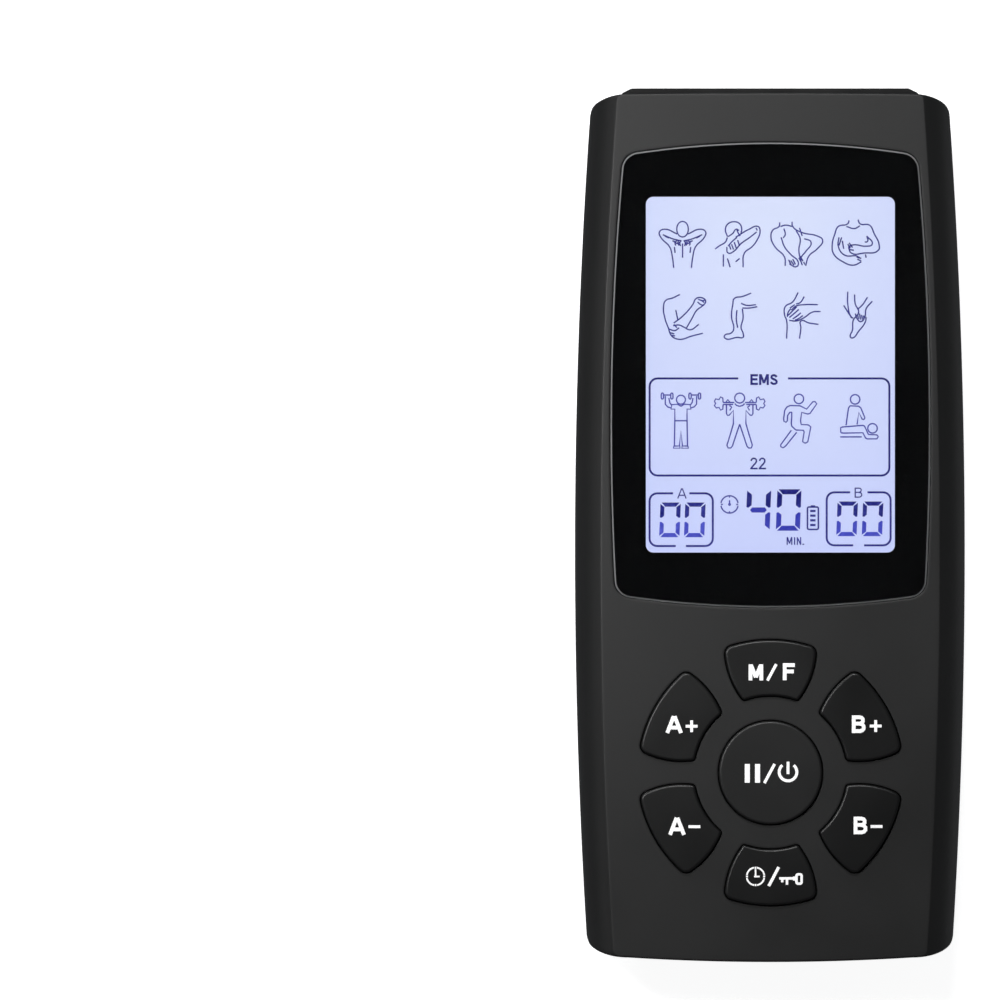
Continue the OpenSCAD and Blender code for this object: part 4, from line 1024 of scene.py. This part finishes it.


# ------------------------------------------------------------ keys
# Seven silicone rubber keys stand just proud of the face: a round one in the middle and
# six in a ring. Their legends are screen printed in white ink, given a faint painted glow.
ring_rubber = moulded("ring_key_rubber", (0.0040, 0.0041, 0.0042), (0.0050, 0.0051, 0.0052), 0.33, 0.3, 0.015,
                      rough_spread=0.03)
centre_rubber = moulded("centre_key_rubber", (0.0080, 0.0081, 0.0082), (0.0096, 0.0097, 0.0098), 0.37, 0.3,
                        0.015, rough_spread=0.03)
KEY_TOP = 21.35
for key, angle in KEYS:
    cap = bmesh.new()
    stacked(cap, [(key_line(angle, grow), z) for grow, z in (
        (0.9, 16.39), (0.9, 17.6), (0.8, 17.7), (0.0, 17.7), (0.0, 21.0), (-0.02, 21.12), (-0.08, 21.24),
        (-0.17, 21.31), (-0.27, 21.345), (-0.36, KEY_TOP), (-0.55, KEY_TOP))])
    stem_at = (0, RING_Y) if angle is None else tuple(
        a + RING_RADIUS * b for a, b in zip((0, RING_Y), towards(angle)))
    stacked(cap, [(circle(*stem_at, 2.4, 32), z) for z in (15.89, 16.5)])
    placed("key_" + key + "_cap", cap, centre_rubber if angle is None else ring_rubber, "key_" + key,
           ["key_" + key], 40)

# The white legend ink also emits a little light: a painted glow that keeps the legends bright.
white_ink_painted_glow = tuned(moulded("white_ink_painted_glow", (0.80, 0.80, 0.80), (0.90, 0.90, 0.90), 0.5, 0.2, 0.004),
                  Emission_Color=(1, 1, 1, 1), Emission_Strength=0.45)
INK_Z = KEY_TOP + 0.005
INK = 0.02


def bar(low, high):
    return block((*low, INK_Z), (*high, INK_Z + INK))


def ink_pen(width):
    return Pen(width, INK_Z + INK / 2, INK * 1.3)


mode_mark, a_up_mark, b_up_mark, a_down_mark, b_down_mark = [ink_pen(0.55) for _ in range(5)]
lettered(mode_mark, "M", -2.15, -21.66, 2.36)
lettered(mode_mark, "F", 2.67, -21.56, 2.5)
lettered(a_up_mark, "A", -14.16, -29.31, 2.57)
lettered(b_up_mark, "B", 12.96, -29.27, 2.58)
lettered(a_down_mark, "A", -13.74, -44.25, 2.6)
lettered(b_down_mark, "B", 13.22, -44.15, 2.57)
power_mark, clock_mark, key_mark = ink_pen(0.42), ink_pen(0.24), ink_pen(0.36)
power_mark.line(arc_line(2.57, -36.3, 1.3, range(50, -231, -10)), smooth=False)
power_mark.line([(2.57, -34.78), (2.57, -36.6)], smooth=False)
TIMER = (-2.2, -51.64)
for quarter in range(20, 380, 90):
    clock_mark.line(arc_line(*TIMER, 1.3, range(quarter - 11, quarter + 62, 9)), smooth=False)
clock_mark.line([(-2.2, -50.6), (-2.2, -51.78)], smooth=False)
clock_mark.line([(-2.4, -51.66), (-1.6, -51.66)], smooth=False)
for a in range(0, 360, 90):
    clock_mark.line([arc_line(*TIMER, r, [a])[0] for r in (1.12, 1.42)], smooth=False)
key_mark.line([(1.28, -51.93), (3.7, -51.93)], smooth=False)
for x, low in ((1.72, -52.5), (2.42, -52.85)):
    key_mark.line([(x, -51.9), (x, low)], smooth=False)
key_mark.line([(3.48, -51.65), (3.48, -52.25)], smooth=False)
key_mark.line(rounded(4.19, -52.02, 0.76, 1.36, 0.22, 3), smooth=False, closed=True)

MARKS = {"mode": [mode_mark], "a_up": [a_up_mark], "b_up": [b_up_mark], "a_down": [a_down_mark],
         "b_down": [b_down_mark], "power": [power_mark], "timer_lock": [clock_mark, key_mark]}
for key, x0, y0, x1, y1 in (("mode", -0.45, -22.86, 0.84, -20.46), ("power", -0.9, -37.92, 0.6, -35.12),
                            ("timer_lock", -0.26, -53.05, 1.2, -50.27)):
    slash = ink_pen(0.42)
    slash.line([(x0, y0), (x1, y1)], smooth=False)
    MARKS[key].append(slash)
LEGENDS = {key: [pen.mesh() for pen in pens] for key, pens in MARKS.items()}
LEGENDS["power"] += [bar((-3.78, -37.87), (-3.04, -35.12)), bar((-2.28, -37.87), (-1.54, -35.12))]
for key, x, y in (("a_up", -11.6, -29.57), ("b_up", 15.45, -29.54), ("a_down", -11.19, -44.33),
                  ("b_down", 15.58, -44.3)):
    LEGENDS[key].append(bar((x - 0.87, y - 0.21), (x + 0.87, y + 0.21)))
    if key.endswith("up"):
        LEGENDS[key] += [bar((x - 0.21, y + low), (x + 0.21, y + high)) for low, high in ((0.2, 0.87), (-0.87, -0.2))]
for key, marks in LEGENDS.items():
    printed = joined(bmesh.new(), *marks)
    placed("legend_" + key, printed, white_ink_painted_glow, "key_" + key,
           sharp=50)


# ------------------------------------------------------------ jack panel
# A black moulding let into the jack end over both shells, standing a little proud of
# the casing, with a round hole for the barrel of each jack.
panel = bmesh.new()
half, slope = 21.8, 1.4
outline = [(-half, 62.85), (half, 62.85), (half, 63.55), (half - slope, 64.25), (slope - half, 64.25),
           (-half, 63.55)]
plate(panel, outline, 4.4, 17.0)
bmesh.ops.recalc_face_normals(panel, faces=panel.faces)
outer = [e for e in panel.edges if min(v.co.y for v in e.verts) > 63.4 * MM]
bmesh.ops.bevel(panel, geom=outer, offset=0.12 * MM, affect="EDGES", segments=2, profile=0.5, material=-1)
holes = []
for x in (-9, 9):
    hole = bmesh.new()
    stacked(hole, [(circle(x, -9.9, r, 64), z) for r, z in ((3.05, 60), (3.05, 64.0), (3.1, 64.13), (3.22, 64.22),
                                                           (3.4, 64.26), (3.4, 66))])
    stood_up(hole, -90)
    holes.append(hole)
panel_plastic = moulded("panel_plastic", (0.0035, 0.0036, 0.0038), (0.0050, 0.0052, 0.0054), 0.62, 0.2, 0.015)
placed("jack_end_panel", cut_away(panel, *holes), tuned(panel_plastic, Specular_IOR_Level=0.25), "casing",
       ["jack_panel"])


# ------------------------------------------------------------ screws and rating label
# Four plated self-tapping screws close the casing from the back, and five more hold
# the board. A blank brushed silver film label fills its recess.
screw_steel = moulded("screw_steel", (0.42, 0.42, 0.44), (0.6, 0.6, 0.62), 0.32, 0.25, 0.015, metal=1.0)
dressed("case_screws", screw_steel)
dressed("board_screws", screw_steel)
dressed("rating_label", moulded("label_film", (0.42, 0.42, 0.43), (0.56, 0.56, 0.57), 0.36, 0.12, 0.01,
                                (0.05, 1, 1), 0.7))
